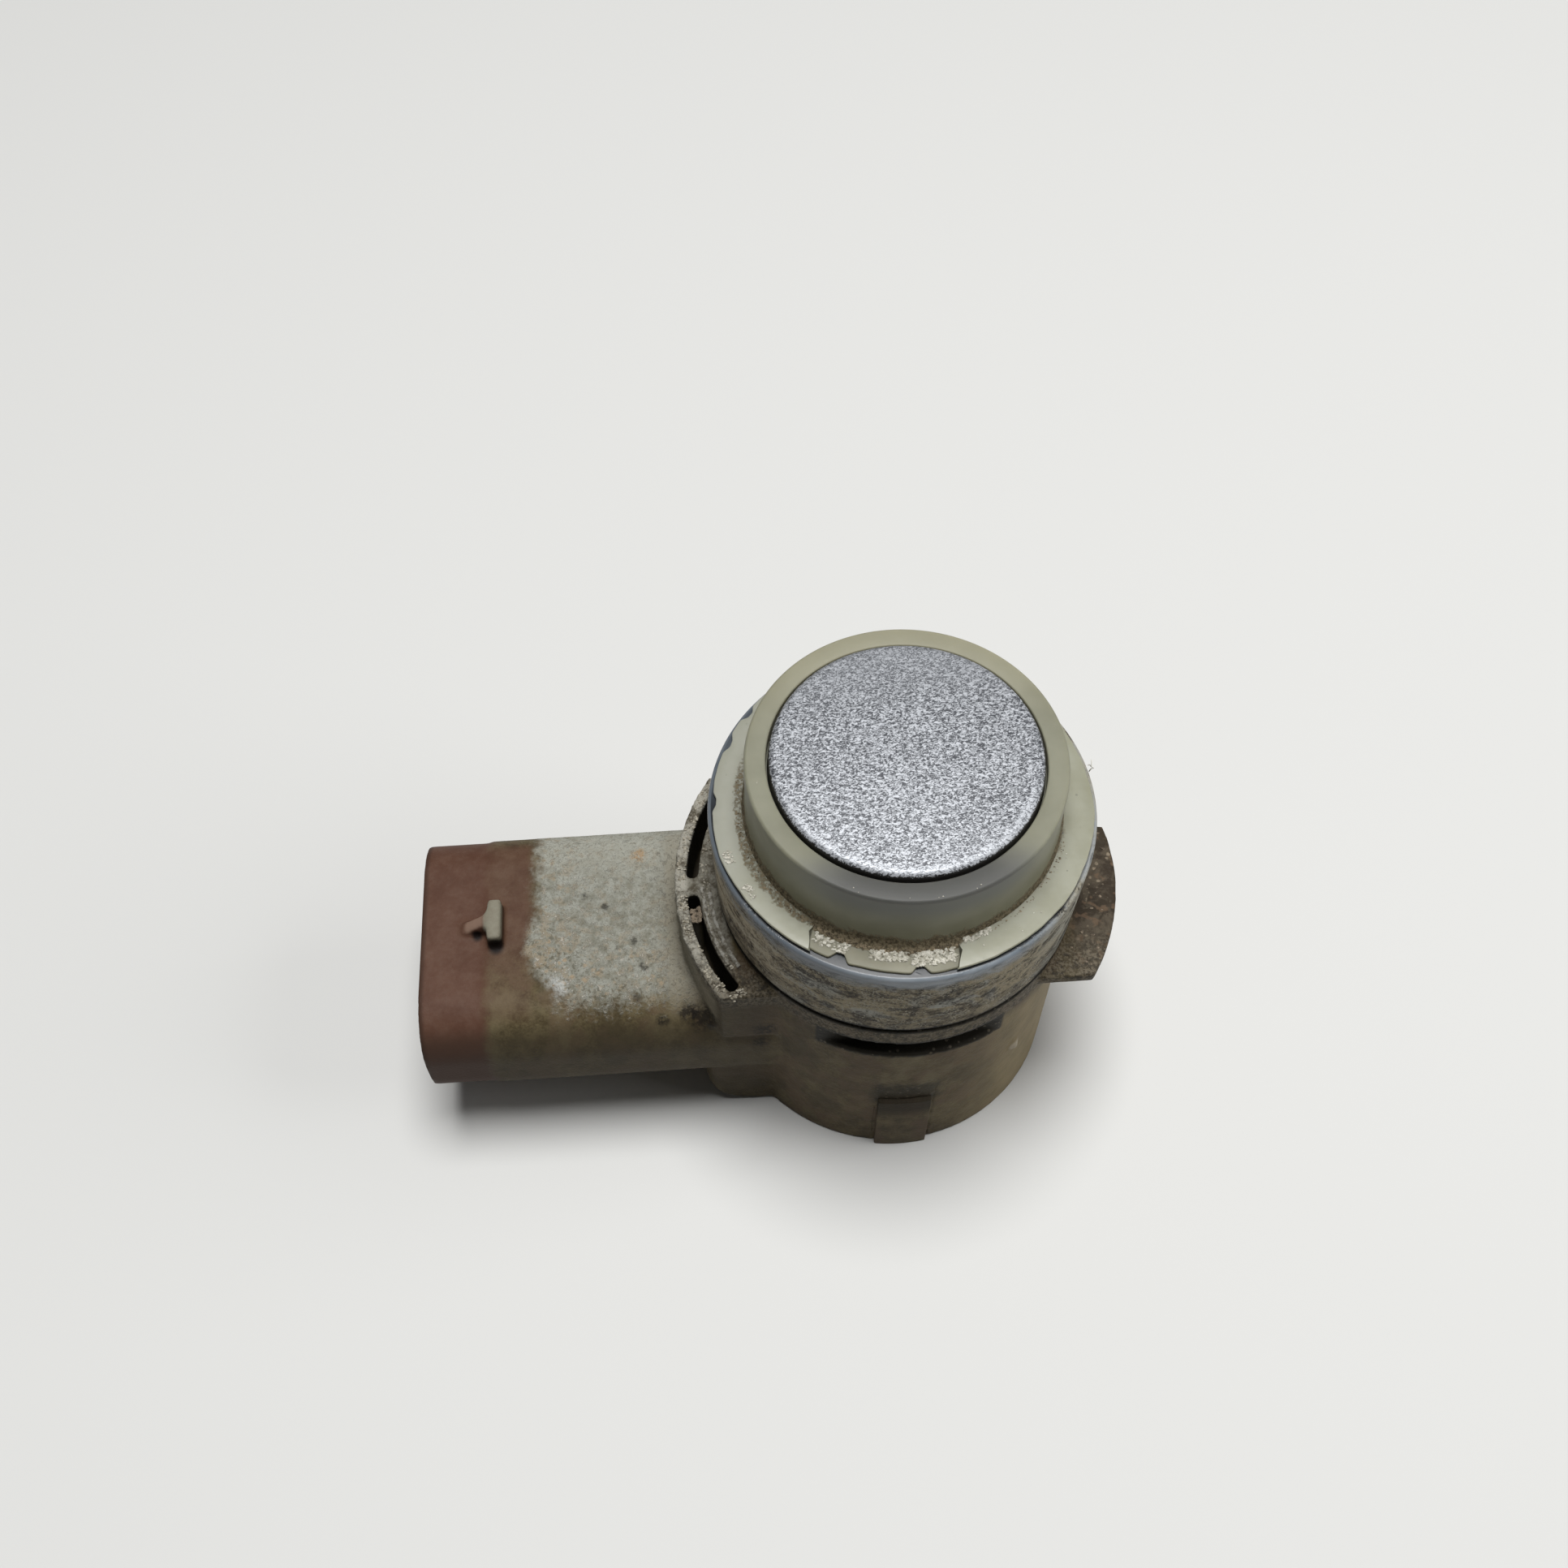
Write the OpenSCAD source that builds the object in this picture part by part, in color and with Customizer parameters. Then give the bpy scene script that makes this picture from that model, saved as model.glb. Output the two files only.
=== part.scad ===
// Ultrasonic parking sensor.
// A moulded housing holds the circuit board in its barrel and ends in a side connector.
// A metal transducer cup sits in a silicone ring on top, held by a clipped retaining ring.
// The barrel's axis is Z, the rear face lies on z = 0 and the connector points along -X.

/* [Barrel] */
// Outer diameter of the barrel
barrel_d = 22; // [21:0.5:26]
// Height of the shoulder that carries the retaining ring
shoulder_z = 17.6; // [17:0.1:22]
// Wall of the barrel around the circuit board
barrel_wall = 1.4; // [1.2:0.1:1.8]
// Depth of the grip pockets under the shoulder
pocket_depth = 1.4; // [0.8:0.1:1.6]
// Height of the grip pockets
pocket_h = 1.6; // [1:0.1:2.4]
// Distance from the shoulder down to the grip pockets
pocket_drop = 1.8; // [1.2:0.1:3]
// Wall left behind a grip pocket
pocket_skin = 0.6; // [0.5:0.1:1]

/* [Head boss] */
// Width of the shoulder around the boss that the retaining ring clips over
shoulder_w = 1; // [0.8:0.1:1.4]
// Height of the boss above the shoulder
boss_h = 2.8; // [2.4:0.1:4]
// Thickness of the boss's end wall
boss_end_t = 1.5; // [1:0.1:2]
// Wall of the boss
boss_wall = 1; // [0.8:0.1:1.4]
// Diameter of the hole for the transducer's leads
lead_hole_d = 5; // [4.4:0.2:7]
// Radius of the snap bead on the boss
bead_r = 0.2; // [0.1:0.05:0.3]

/* [Ears] */
// How far the ears' round edge stands out from the barrel
ear_out = 2.65; // [2.2:0.05:4.5]
// Width of the ears across their straight edges
ear_w = 15.6; // [13:0.2:17]
// Thickness of the right ear
ear_t = 0.9; // [0.8:0.1:2]
// Distance from the shoulder down to the ears' top
ear_drop = 0.6; // [0.2:0.1:1.2]
// Distance from the left ear's round edge to its slots
slot_rim = 0.7; // [0.5:0.1:1]
// Width of the slots in the left ear
slot_w = 0.75; // [0.4:0.05:1]
// Height of the left ear's collar, down to the neck
collar_h = 4.8; // [4:0.1:5.6]
// Plastic left under the slots in the collar
slot_floor = 0.8; // [0.4:0.1:1.6]
// Width of the bridge between the two slots
slot_bridge_w = 1.1; // [0.6:0.1:2]
// Angle that the slots cover on each side of the bridge
slot_reach = 35; // [20:1:38]
// Width of the notch in the right ear's edge
notch_w = 0.9; // [0.4:0.1:2]
// Depth of that notch
notch_depth = 0.5; // [0.2:0.1:0.8]
// Angle of that notch from the +X axis
notch_angle = 12.5; // [0:0.5:25]

/* [Neck] */
// Width of the block between the barrel and the connector
neck_w = 14.8; // [12:0.2:16]
// How far the neck stands out from the barrel
neck_out = 1.6; // [0.8:0.1:3]
// Height of the neck's underside above the rear face
neck_z = 0.2; // [0:0.1:2]
// Radius of the neck's upright corners
neck_corner_r = 1.2; // [0.4:0.1:2]
// Radius of the neck's lower end edge
neck_foot_r = 3.4; // [1:0.1:4]

/* [Connector] */
// Width of the connector shroud
shroud_w = 15.7; // [14:0.1:18]
// Height of the connector shroud
shroud_h = 9; // [8:0.1:10]
// Radius of the shroud's long edges
shroud_r = 3.5; // [2.5:0.1:4]
// Height of the shroud's middle above the rear face
shroud_z = 8.6; // [8:0.1:10]
// Length of the shroud from the neck to its mouth
shroud_len = 17.4; // [15:0.1:24]
// Wall of the shroud
shroud_wall = 1.25; // [0.9:0.05:1.6]
// Depth of the socket
socket_depth = 13; // [11:0.5:14]
// Length of the slimmer end of the shroud
step_len = 4.1; // [3:0.1:6]
// Height of the step behind the slimmer end
step_h = 0.1; // [0.05:0.05:0.3]

/* [Latch catch] */
// Width of the catch bar across the shroud
catch_w = 2.8; // [2:0.1:5]
// Thickness of the catch bar along the shroud
catch_t = 0.95; // [0.6:0.05:1.5]
// Height of the catch bar above the shroud
catch_h = 1.3; // [0.8:0.1:2]
// Distance from the mouth to the catch bar
catch_back = 4.3; // [3:0.1:7]
// Length of the ramp in front of the catch bar
ramp_len = 1.8; // [1:0.1:2.5]
// Width of the ramp
ramp_w = 0.9; // [0.5:0.1:1.5]

/* [Contact pins] */
// Width of a contact blade
pin_w = 1; // [0.6:0.1:1.3]
// Thickness of a contact blade
pin_t = 0.64; // [0.5:0.02:0.8]
// Distance between neighbouring pins
pin_pitch = 3.6; // [2.6:0.1:4]
// Distance from the mouth to the pins' tips
pin_recess = 5; // [4.6:0.1:7]
// Distance from the chamber's wall to the pins' upright legs
pin_leg_in = 2; // [1.8:0.1:2.4]
// Length of the pins' tails under the circuit board
pin_tail = 0.8; // [0.4:0.1:1.2]
// Length of the pins' tapered tips
pin_tip = 0.8; // [0.3:0.1:1.5]

/* [Rear cover] */
// Thickness of the rear cover
cover_t = 1.4; // [1:0.1:2]
// Wall of the barrel around the rear cover
cover_rim = 0.7; // [0.5:0.05:0.9]
// Width of the snap tabs
tab_w = 3.4; // [2.4:0.1:5]
// Height of the snap tabs
tab_h = 7.2; // [6:0.1:8]
// Thickness of the snap tabs
tab_t = 0.9; // [0.7:0.05:1.1]
// How far the snap tabs stand out from the barrel
tab_proud = 0.28; // [0.1:0.02:0.4]
// How far the hook on a snap tab reaches inwards
hook_in = 0.2; // [0.1:0.05:0.3]
// Height of a hook
hook_h = 0.8; // [0.5:0.1:1.2]
// Height of the window above a snap tab
window_h = 2.2; // [1.2:0.1:3]
// Depth of that window
window_depth = 0.6; // [0.3:0.1:0.9]

/* [Circuit board] */
// Height of the ledge that the circuit board seats against
ledge_z = 6.6; // [5.6:0.1:7]
// Thickness of the circuit board
board_t = 1.2; // [0.8:0.1:1.6]
// Size of the sensor chip's body along X
chip_l = 5; // [4:0.1:5.4]
// Size of the sensor chip's body along Y
chip_w = 4; // [3:0.1:4.2]
// Height of the sensor chip's body
chip_h = 1.5; // [1:0.1:2]
// Size of the transformer core along X and Y
core_w = 5.6; // [5.2:0.1:5.8]
// Height of the transformer core
core_h = 5; // [4:0.1:6]
// Diameter of the transformer's winding
winding_d = 4.6; // [3.6:0.1:4.8]
// Height of the transformer's winding
winding_h = 3.4; // [2:0.1:3.8]
// Diameter of the core's centre post
post_d = 2; // [1.4:0.1:2.6]
// Diameter of the buffer capacitor
can_d = 4; // [3:0.1:4.4]
// Height of the buffer capacitor
can_h = 5.2; // [4:0.1:7]
// Length of the small chip parts
smd_l = 1.6; // [1:0.1:1.8]
// Width of the small chip parts
smd_w = 0.8; // [0.5:0.1:1]
// Height of the chip capacitors
smd_cap_h = 0.8; // [0.5:0.1:1]
// Height of the chip resistors
smd_res_h = 0.45; // [0.3:0.05:0.6]

/* [Sensor head] */
// Height of the silicone lip above the shoulder
lip_h = 12.4; // [11:0.1:16]
// Wall of the retaining ring around the silicone lip
ring_wall = 2.21; // [1.8:0.01:2.6]
// Wall of the silicone lip around the transducer cup
lip_wall = 1.36; // [1.1:0.02:1.8]
// How far the transducer's face stands out of the lip
cup_proud = 0.37; // [0:0.01:0.6]
// Thickness of the transducer's face
cup_face_t = 0.8; // [0.5:0.1:1.2]
// Wall of the transducer cup
cup_wall = 0.9; // [0.6:0.1:1.2]
// Radius of the edge around the transducer's face
cup_edge_r = 0.42; // [0.2:0.02:0.48]
// Diameter of the piezo disc
piezo_d = 8; // [6:0.1:10]
// Thickness of the piezo disc
piezo_t = 0.6; // [0.3:0.1:1]
// Thickness of the damping pad
pad_t = 4.8; // [3:0.1:5.2]
// Thickness of the silicone floor under the cup
floor_t = 0.6; // [0.4:0.1:1.2]
// Diameter of the hole in that floor
floor_hole_d = 10; // [8:0.2:12]
// Depth of the wider mouth in the silicone lip
mouth_depth = 0.8; // [0.5:0.1:1.2]
// Radius of the lip's outer edge
lip_edge_r = 0.3; // [0.1:0.05:0.4]
// Distance from the retaining ring's outside to the silicone flange's edge
flange_inset = 0.45; // [0.36:0.01:1]
// Thickness of the silicone flange
flange_t = 0.35; // [0.2:0.05:0.8]
// Radius of the fillet between the lip's wall and the flange
flange_fillet_r = 0.3; // [0.1:0.05:0.5]
// How far the retaining ring's top stands out from the barrel
ring_out = 0.3; // [0.1:0.05:0.8]
// Height of the retaining ring
ring_h = 7.5; // [6.5:0.1:8.5]
// How much the retaining ring narrows towards the shoulder
ring_taper = 0.25; // [0:0.05:0.4]
// Radius of the retaining ring's top edge
ring_edge_r = 0.35; // [0.1:0.05:0.5]
// Height of the open joint under the retaining ring
joint_h = 0.4; // [0.2:0.05:0.6]
// Depth of that joint
joint_depth = 0.4; // [0.2:0.05:0.5]

/* [Leads] */
// Diameter of the transducer's leads
lead_d = 0.6; // [0.4:0.05:0.8]
// Distance from the barrel's axis to the leads along -X
lead_x = 1.6; // [1.2:0.05:1.8]
// Distance between the two leads
lead_pitch = 1.6; // [1.2:0.05:1.8]

/* [Clearances] */
// Clearance around the rear cover and its tabs
cover_clear = 0.08; // [0.04:0.01:0.12]
// Clearance around the circuit board
board_clear = 0.15; // [0.05:0.01:0.2]
// Clearance around the contact pins in the housing
pin_clear = 0.05; // [0.02:0.01:0.1]
// Clearance around the pins' tails in the circuit board
tail_clear = 0.15; // [0.05:0.01:0.2]
// Clearance between the retaining ring and the boss
ring_clear = 0.05; // [0.03:0.01:0.1]
// Clearance between the silicone and the retaining ring
lip_clear = 0.06; // [0.03:0.01:0.1]
// Clearance between the cup and the silicone
cup_clear = 0.05; // [0.03:0.01:0.08]
// Gap around the transducer's face
face_gap = 0.12; // [0.1:0.01:0.2]
// Clearance around the damping pad, the winding, the potting and the leads
inner_clear = 0.1; // [0.05:0.01:0.15]
// Gap between the chamber's wall and the large parts on the circuit board
wall_gap = 0.35; // [0.2:0.05:0.5]
// Gap between the sensor chip and the transformer core
part_gap = 0.3; // [0.2:0.05:0.5]
// Gap between the small chip parts
smd_gap = 0.6; // [0.4:0.1:0.8]
// Distance from the pins' legs to the chip resistors
resistor_back = 2.6; // [2.2:0.1:3]

/* [Hidden] */
$fn = 96;
// Overlap of a cut past the face it opens
past = 1;
// Least width of the ledge that the circuit board seats against
ledge_min = 0.5;

// Radii of the barrel and of its two chambers, below and above the board's ledge
barrel_r = barrel_d / 2;
chamber_r = barrel_r - barrel_wall;
upper_r = chamber_r - max(pocket_depth + pocket_skin - barrel_wall, ledge_min);
cover_seat_r = barrel_r - cover_rim;
// Levels of the head, from the shoulder up
boss_r = barrel_r - shoulder_w;
boss_bore_r = min(boss_r - boss_wall, upper_r);
boss_z = shoulder_z + boss_h;
bead_z = shoulder_z + boss_h / 2;
ring_z = shoulder_z + ring_h;
lip_z = shoulder_z + lip_h;
floor_z = boss_z + floor_t;
face_z = lip_z + cup_proud;
cup_inner_z = face_z - cup_face_t;
piezo_z = cup_inner_z - piezo_t;
pad_z = piezo_z - inner_clear - pad_t;
// Radii of the head
ring_r = barrel_r + ring_out;
flange_r = ring_r - flange_inset;
lip_r = ring_r - ring_wall;
cup_r = lip_r - lip_wall;
cup_bore_r = cup_r - cup_wall;
// Levels and radii of the ears
ear_r = barrel_r + ear_out;
ear_z = shoulder_z - ear_drop;
slot_out_r = ear_r - slot_rim;
slot_in_r = slot_out_r - slot_w;
slot_depth = collar_h - slot_floor;
// Top and end of the neck, end of the connector and place of the pins' legs
neck_top = ear_z - collar_h;
neck_reach = barrel_r + neck_out;
shroud_reach = neck_reach + shroud_len;
pin_leg_x = upper_r - pin_leg_in;
board_hole_r = norm([pin_w, pin_t]) / 2 + tail_clear;
// Board's underside, and the inner face and hooks of the tabs
board_z = ledge_z - board_t;
tab_in_r = barrel_r + tab_proud - tab_t;
hook_z = tab_h - 2 * hook_h;
// Legs of the sensor chip, and the transformer core's base and wire window
chip_legs = 4;
chip_leg_pitch = 1.1;
chip_leg_w = 0.4;
chip_leg_t = 0.25;
chip_leg_out = 0.9;
core_base_t = 0.8;
core_window_w = 3;
// Half lengths of the chip with its legs, and pitches of the small chip parts
chip_half_x = max((chip_legs - 1) * chip_leg_pitch + chip_leg_w, chip_l) / 2;
chip_half_y = chip_w / 2 + chip_leg_out;
smd_pitch_x = smd_l + smd_gap;
smd_pitch_y = smd_w + smd_gap;
capacitor_group_r = norm([smd_pitch_x + smd_l, smd_pitch_y + smd_w]) / 2;
// Room on the board inside the chamber's wall, and its half width at a distance y from the middle
room_r = upper_r - wall_gap;
function room_x(y) = sqrt(pow(room_r, 2) - pow(y, 2));
function polar(r, angle) = [cos(angle), sin(angle)] * r;
// Places of the parts on the circuit board
chip_at = [room_x(2 * chip_half_y + part_gap / 2) - chip_half_x, -chip_half_y - part_gap / 2];
core_at = [room_x(core_w + part_gap / 2) - core_w / 2, (core_w + part_gap) / 2];
can_angle = -114;
can_at = polar(room_r - can_d / 2, can_angle);
capacitor_angle = 125;
capacitor_at = polar(room_r - capacitor_group_r, capacitor_angle);
capacitor_places = [for (i = [-0.5, 0.5], j = [-0.5, 0.5])
    capacitor_at + [i * smd_pitch_x, j * smd_pitch_y]];
resistor_places = [for (j = [-1.5:1.5]) [resistor_back - pin_leg_x, j * smd_pitch_y]];

// A rectangle with rounded corners, centred on the origin
module rounded_rect(w, h, r) {
    square([w, h - 2 * r], center = true);
    square([w - 2 * r, h], center = true);
    for (sx = [-1, 1], sy = [-1, 1])
        translate([sx * (w / 2 - r), sy * (h / 2 - r)])
            circle(r);
}

// The connector's outline at a distance inside the shroud's wall, from one x to another
module shroud_bar(inset, x_from, x_to) {
    translate([x_from, 0, shroud_z])
        rotate([90, 0, 90])
            linear_extrude(x_to - x_from)
                rounded_rect(shroud_w - 2 * inset, shroud_h - 2 * inset, shroud_r - inset);
}

// Half-disc of one ear, on the +X side
module ear_plate(thickness) {
    intersection() {
        cylinder(r = ear_r, h = thickness);
        translate([0, -ear_w / 2, 0])
            cube([ear_r, ear_w, thickness]);
    }
}

// The two curved slots of the left ear, with a bridge of plastic between them
module ear_slots() {
    translate([0, 0, ear_z - slot_depth])
        difference() {
            for (side = [0, 1])
                mirror([0, side, 0])
                    rotate([0, 0, 180])
                        rotate_extrude(angle = slot_reach)
                            translate([slot_in_r, 0])
                                square([slot_w, slot_depth + past]);
            translate([-ear_r, -slot_bridge_w / 2, -past])
                cube([ear_r, slot_bridge_w, slot_depth + 3 * past]);
        }
}

// Block between the barrel and the connector, with a rounded lower end
module neck() {
    intersection() {
        translate([-neck_reach, 0, neck_z])
            linear_extrude(neck_top - neck_z)
                translate([neck_reach / 2, 0])
                    rounded_rect(neck_reach, neck_w, neck_corner_r);
        union() {
            translate([neck_foot_r - neck_reach, neck_w / 2, neck_z + neck_foot_r])
                rotate([90, 0, 0])
                    cylinder(r = neck_foot_r, h = neck_w);
            translate([neck_foot_r - neck_reach, -neck_w / 2, neck_z])
                cube([neck_reach, neck_w, ear_z]);
            translate([-neck_reach, -neck_w / 2, neck_z + neck_foot_r])
                cube([neck_reach, neck_w, ear_z]);
        }
    }
}

// Catch bar and ramp on top of the shroud, for the plug's latch
module latch_catch() {
    top_z = shroud_z + shroud_h / 2;
    foot = shroud_wall / 2;
    bar_x = catch_back - shroud_reach;
    translate([bar_x, -catch_w / 2, top_z - foot])
        cube([catch_t, catch_w, catch_h + foot]);
    translate([bar_x, ramp_w / 2, top_z])
        rotate([90, 0, 0])
            linear_extrude(ramp_w)
                polygon([[-ramp_len, -foot], [catch_t, -foot], [catch_t, catch_h], [0, catch_h],
                    [-ramp_len, 0]]);
}

// Slim sector of the barrel's wall on the front (-Y), between two radii
module front_sector(r_in, r_out, w, z_from, z_to) {
    translate([0, 0, z_from])
        intersection() {
            difference() {
                cylinder(r = r_out, h = z_to - z_from);
                translate([0, 0, -past])
                    cylinder(r = r_in, h = z_to - z_from + 2 * past);
            }
            translate([-w / 2, -r_out, 0])
                cube([w, r_out, z_to - z_from]);
        }
}

// Runs its children at the front and, turned round, at the back
module front_and_back() {
    for (turn = [0, 180])
        rotate([0, 0, turn])
            children();
}

module housing() {
    tab_room = tab_w + 2 * cover_clear;
    tab_floor_r = tab_in_r - cover_clear;
    pocket_top = shoulder_z - pocket_drop;
    color("#5a3f38")
        difference() {
            union() {
                cylinder(r = barrel_r, h = shoulder_z);
                cylinder(r = boss_r, h = boss_z);
                translate([0, 0, bead_z])
                    rotate_extrude()
                        translate([boss_r, 0])
                            circle(bead_r, $fn = 32);
                translate([0, 0, ear_z - ear_t])
                    ear_plate(ear_t);
                translate([0, 0, neck_top - past])
                    rotate([0, 0, 180])
                        ear_plate(collar_h + past);
                neck();
                shroud_bar(0, step_len - shroud_reach, 0);
                shroud_bar(step_h, -shroud_reach, step_len - shroud_reach);
                latch_catch();
            }
            // Room for the cover, the board and the leads
            translate([0, 0, -past])
                cylinder(r = cover_seat_r, h = cover_t + past);
            translate([0, 0, -past])
                cylinder(r = chamber_r, h = ledge_z + past);
            translate([0, 0, -past])
                cylinder(r = upper_r, h = shoulder_z - boss_end_t + past);
            cylinder(r = boss_bore_r, h = boss_z - boss_end_t);
            cylinder(d = lead_hole_d, h = boss_z + past);
            // Grip pockets, snap tab grooves and windows, front and back
            front_and_back() {
                translate([-barrel_r, -barrel_r, pocket_top - pocket_h])
                    cube([barrel_d, pocket_depth, pocket_h]);
                front_sector(tab_floor_r, barrel_r + past, tab_room, -past, tab_h + cover_clear);
                front_sector(chamber_r, barrel_r + past, tab_room, -past, cover_t);
                front_sector(tab_floor_r - hook_in, barrel_r + past, tab_room,
                    hook_z - cover_clear, hook_z + hook_h + cover_clear);
                front_sector(barrel_r - window_depth, barrel_r + past, tab_room, tab_h,
                    tab_h + window_h);
            }
            // Slots of the left ear and notch of the right one
            ear_slots();
            rotate([0, 0, notch_angle])
                translate([ear_r - notch_depth, -notch_w / 2, 0])
                    cube([notch_depth + past, notch_w, shoulder_z]);
            // Socket and the passages of its pins
            shroud_bar(shroud_wall, -shroud_reach - past, socket_depth - shroud_reach);
            for (i = [-1:1])
                translate([-shroud_reach, i * pin_pitch - pin_w / 2 - pin_clear,
                        shroud_z - pin_t / 2 - pin_clear])
                    cube([shroud_reach - upper_r + past, pin_w + 2 * pin_clear, pin_t + 2 * pin_clear]);
        }
}

module rear_cover() {
    color("#3d2f2b") {
        cylinder(r = cover_seat_r - cover_clear, h = cover_t - cover_clear);
        front_and_back() {
            front_sector(cover_seat_r / 2, barrel_r + tab_proud, tab_w, 0, cover_t - cover_clear);
            front_sector(tab_in_r, barrel_r + tab_proud, tab_w, 0, tab_h);
            front_sector(tab_in_r - hook_in, barrel_r + tab_proud, tab_w, hook_z, hook_z + hook_h);
        }
    }
}

module potting() {
    color("#26282b")
        difference() {
            translate([0, 0, cover_t])
                cylinder(r = chamber_r - inner_clear, h = board_z - cover_t);
            for (i = [-1:1])
                translate([-pin_leg_x, i * pin_pitch, board_z - pin_tail - inner_clear])
                    cylinder(r = board_hole_r, h = pin_tail + inner_clear + past);
        }
}

module circuit_board() {
    color("#2f6b45")
        translate([0, 0, board_z])
            difference() {
                cylinder(r = chamber_r - board_clear, h = board_t);
                for (i = [-1:1])
                    translate([-pin_leg_x, i * pin_pitch, -past])
                        cylinder(r = board_hole_r, h = board_t + 2 * past);
            }
}

module sensor_chip() {
    color("#1d1d1f")
        translate([chip_at[0], chip_at[1], ledge_z]) {
            translate([-chip_l / 2, -chip_w / 2, chip_leg_t])
                cube([chip_l, chip_w, chip_h - chip_leg_t]);
            for (i = [0:chip_legs - 1])
                translate([(i - (chip_legs - 1) / 2) * chip_leg_pitch - chip_leg_w / 2,
                        -chip_w / 2 - chip_leg_out, 0])
                    cube([chip_leg_w, chip_w + 2 * chip_leg_out, 2 * chip_leg_t]);
        }
}

module transformer_core() {
    room_d = winding_d + 2 * inner_clear;
    color("#3a3a3d")
        translate([core_at[0], core_at[1], ledge_z]) {
            difference() {
                translate([-core_w / 2, -core_w / 2, 0])
                    cube([core_w, core_w, core_h]);
                translate([0, 0, core_base_t])
                    cylinder(d = room_d, h = core_h);
                translate([-core_w, -core_window_w / 2, core_base_t])
                    cube([2 * core_w, core_window_w, core_h]);
            }
            cylinder(d = post_d, h = core_h);
        }
}

module transformer_winding() {
    color("#b5703a")
        translate([core_at[0], core_at[1], ledge_z + core_base_t])
            difference() {
                cylinder(d = winding_d, h = winding_h);
                translate([0, 0, -past])
                    cylinder(d = post_d + 2 * inner_clear, h = winding_h + 2 * past);
            }
}

module buffer_capacitor() {
    groove_z = can_h / 6;
    color("#c9c9cc")
        translate([can_at[0], can_at[1], ledge_z])
            difference() {
                cylinder(d = can_d, h = can_h);
                translate([0, 0, groove_z])
                    rotate_extrude()
                        translate([can_d / 2, 0])
                            circle(can_d / 16, $fn = 32);
            }
}

// Small chip parts of one height at the given places on the board
module chip_parts(places, height) {
    for (place = places)
        translate([place[0] - smd_l / 2, place[1] - smd_w / 2, ledge_z])
            cube([smd_l, smd_w, height]);
}

module chip_capacitors() {
    color("#a08560")
        chip_parts(capacitor_places, smd_cap_h);
}

module chip_resistors() {
    color("#202024")
        chip_parts(resistor_places, smd_res_h);
}

// Blade contact with a tapered tip, bent down through the circuit board
module contact_pin(index) {
    tip_x = pin_recess - shroud_reach;
    leg_x = pin_t / 2 - pin_leg_x;
    low_z = shroud_z - pin_t / 2;
    color("#c8c2ae")
        translate([0, index * pin_pitch + pin_w / 2, 0])
            rotate([90, 0, 0])
                linear_extrude(pin_w)
                    polygon([[tip_x, shroud_z - pin_t / 6], [tip_x, shroud_z + pin_t / 6],
                        [tip_x + pin_tip, low_z + pin_t], [leg_x, low_z + pin_t],
                        [leg_x, board_z - pin_tail], [leg_x - pin_t, board_z - pin_tail],
                        [leg_x - pin_t, low_z], [tip_x + pin_tip, low_z]]);
}

module supply_pin() {
    contact_pin(1);
}

module signal_pin() {
    contact_pin(0);
}

module ground_pin() {
    contact_pin(-1);
}

module transducer_cup() {
    depth = face_z - floor_z;
    color("#a9abb8")
        translate([0, 0, floor_z])
            difference() {
                rotate_extrude() {
                    square([cup_r - cup_edge_r, depth]);
                    square([cup_r, depth - cup_edge_r]);
                    translate([cup_r - cup_edge_r, depth - cup_edge_r])
                        intersection() {
                            circle(cup_edge_r);
                            square(cup_edge_r);
                        }
                }
                translate([0, 0, -past])
                    cylinder(r = cup_bore_r, h = depth - cup_face_t + past);
            }
}

module piezo_disc() {
    color("#d8cfae")
        translate([0, 0, piezo_z])
            cylinder(d = piezo_d, h = piezo_t);
}

module damping_pad() {
    color("#e3e0d6")
        difference() {
            translate([0, 0, pad_z])
                cylinder(r = cup_bore_r - inner_clear, h = pad_t);
            translate([-lead_x, lead_pitch / 2, pad_z - past])
                cylinder(d = lead_d + 2 * inner_clear, h = pad_t + 2 * past);
        }
}

module hot_lead() {
    color("#b33a2e")
        translate([-lead_x, lead_pitch / 2, ledge_z])
            cylinder(d = lead_d, h = piezo_z - ledge_z, $fn = 32);
}

module ground_lead() {
    turn_z = (floor_z + pad_z) / 2;
    wall_y = sqrt(pow(cup_bore_r, 2) - pow(lead_x + lead_d / 2, 2));
    color("#2b2b2e")
        translate([-lead_x, -lead_pitch / 2, 0]) {
            translate([0, 0, ledge_z])
                cylinder(d = lead_d, h = turn_z - ledge_z, $fn = 32);
            translate([0, 0, turn_z])
                sphere(d = lead_d, $fn = 32);
            translate([0, 0, turn_z])
                rotate([90, 0, 0])
                    cylinder(d = lead_d, h = wall_y - lead_pitch / 2 - inner_clear, $fn = 32);
        }
}

module decoupling_ring() {
    bore_r = cup_r + cup_clear;
    mouth_r = cup_r + face_gap;
    flange_z = ring_z + flange_t;
    color("#b7b29c")
        rotate_extrude()
            difference() {
                union() {
                    translate([0, boss_z])
                        square([lip_r, lip_z - lip_edge_r - boss_z]);
                    translate([0, boss_z])
                        square([lip_r - lip_edge_r, lip_z - boss_z]);
                    translate([lip_r - lip_edge_r, lip_z - lip_edge_r])
                        circle(lip_edge_r);
                    translate([0, ring_z])
                        square([flange_r, flange_t]);
                    difference() {
                        translate([0, flange_z])
                            square([lip_r + flange_fillet_r, flange_fillet_r]);
                        translate([lip_r + flange_fillet_r, flange_z + flange_fillet_r])
                            circle(flange_fillet_r);
                    }
                }
                square([floor_hole_d / 2, floor_z]);
                translate([0, floor_z])
                    square([bore_r, lip_z]);
                translate([0, lip_z - mouth_depth])
                    square([mouth_r, mouth_depth + past]);
            }
}

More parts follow.
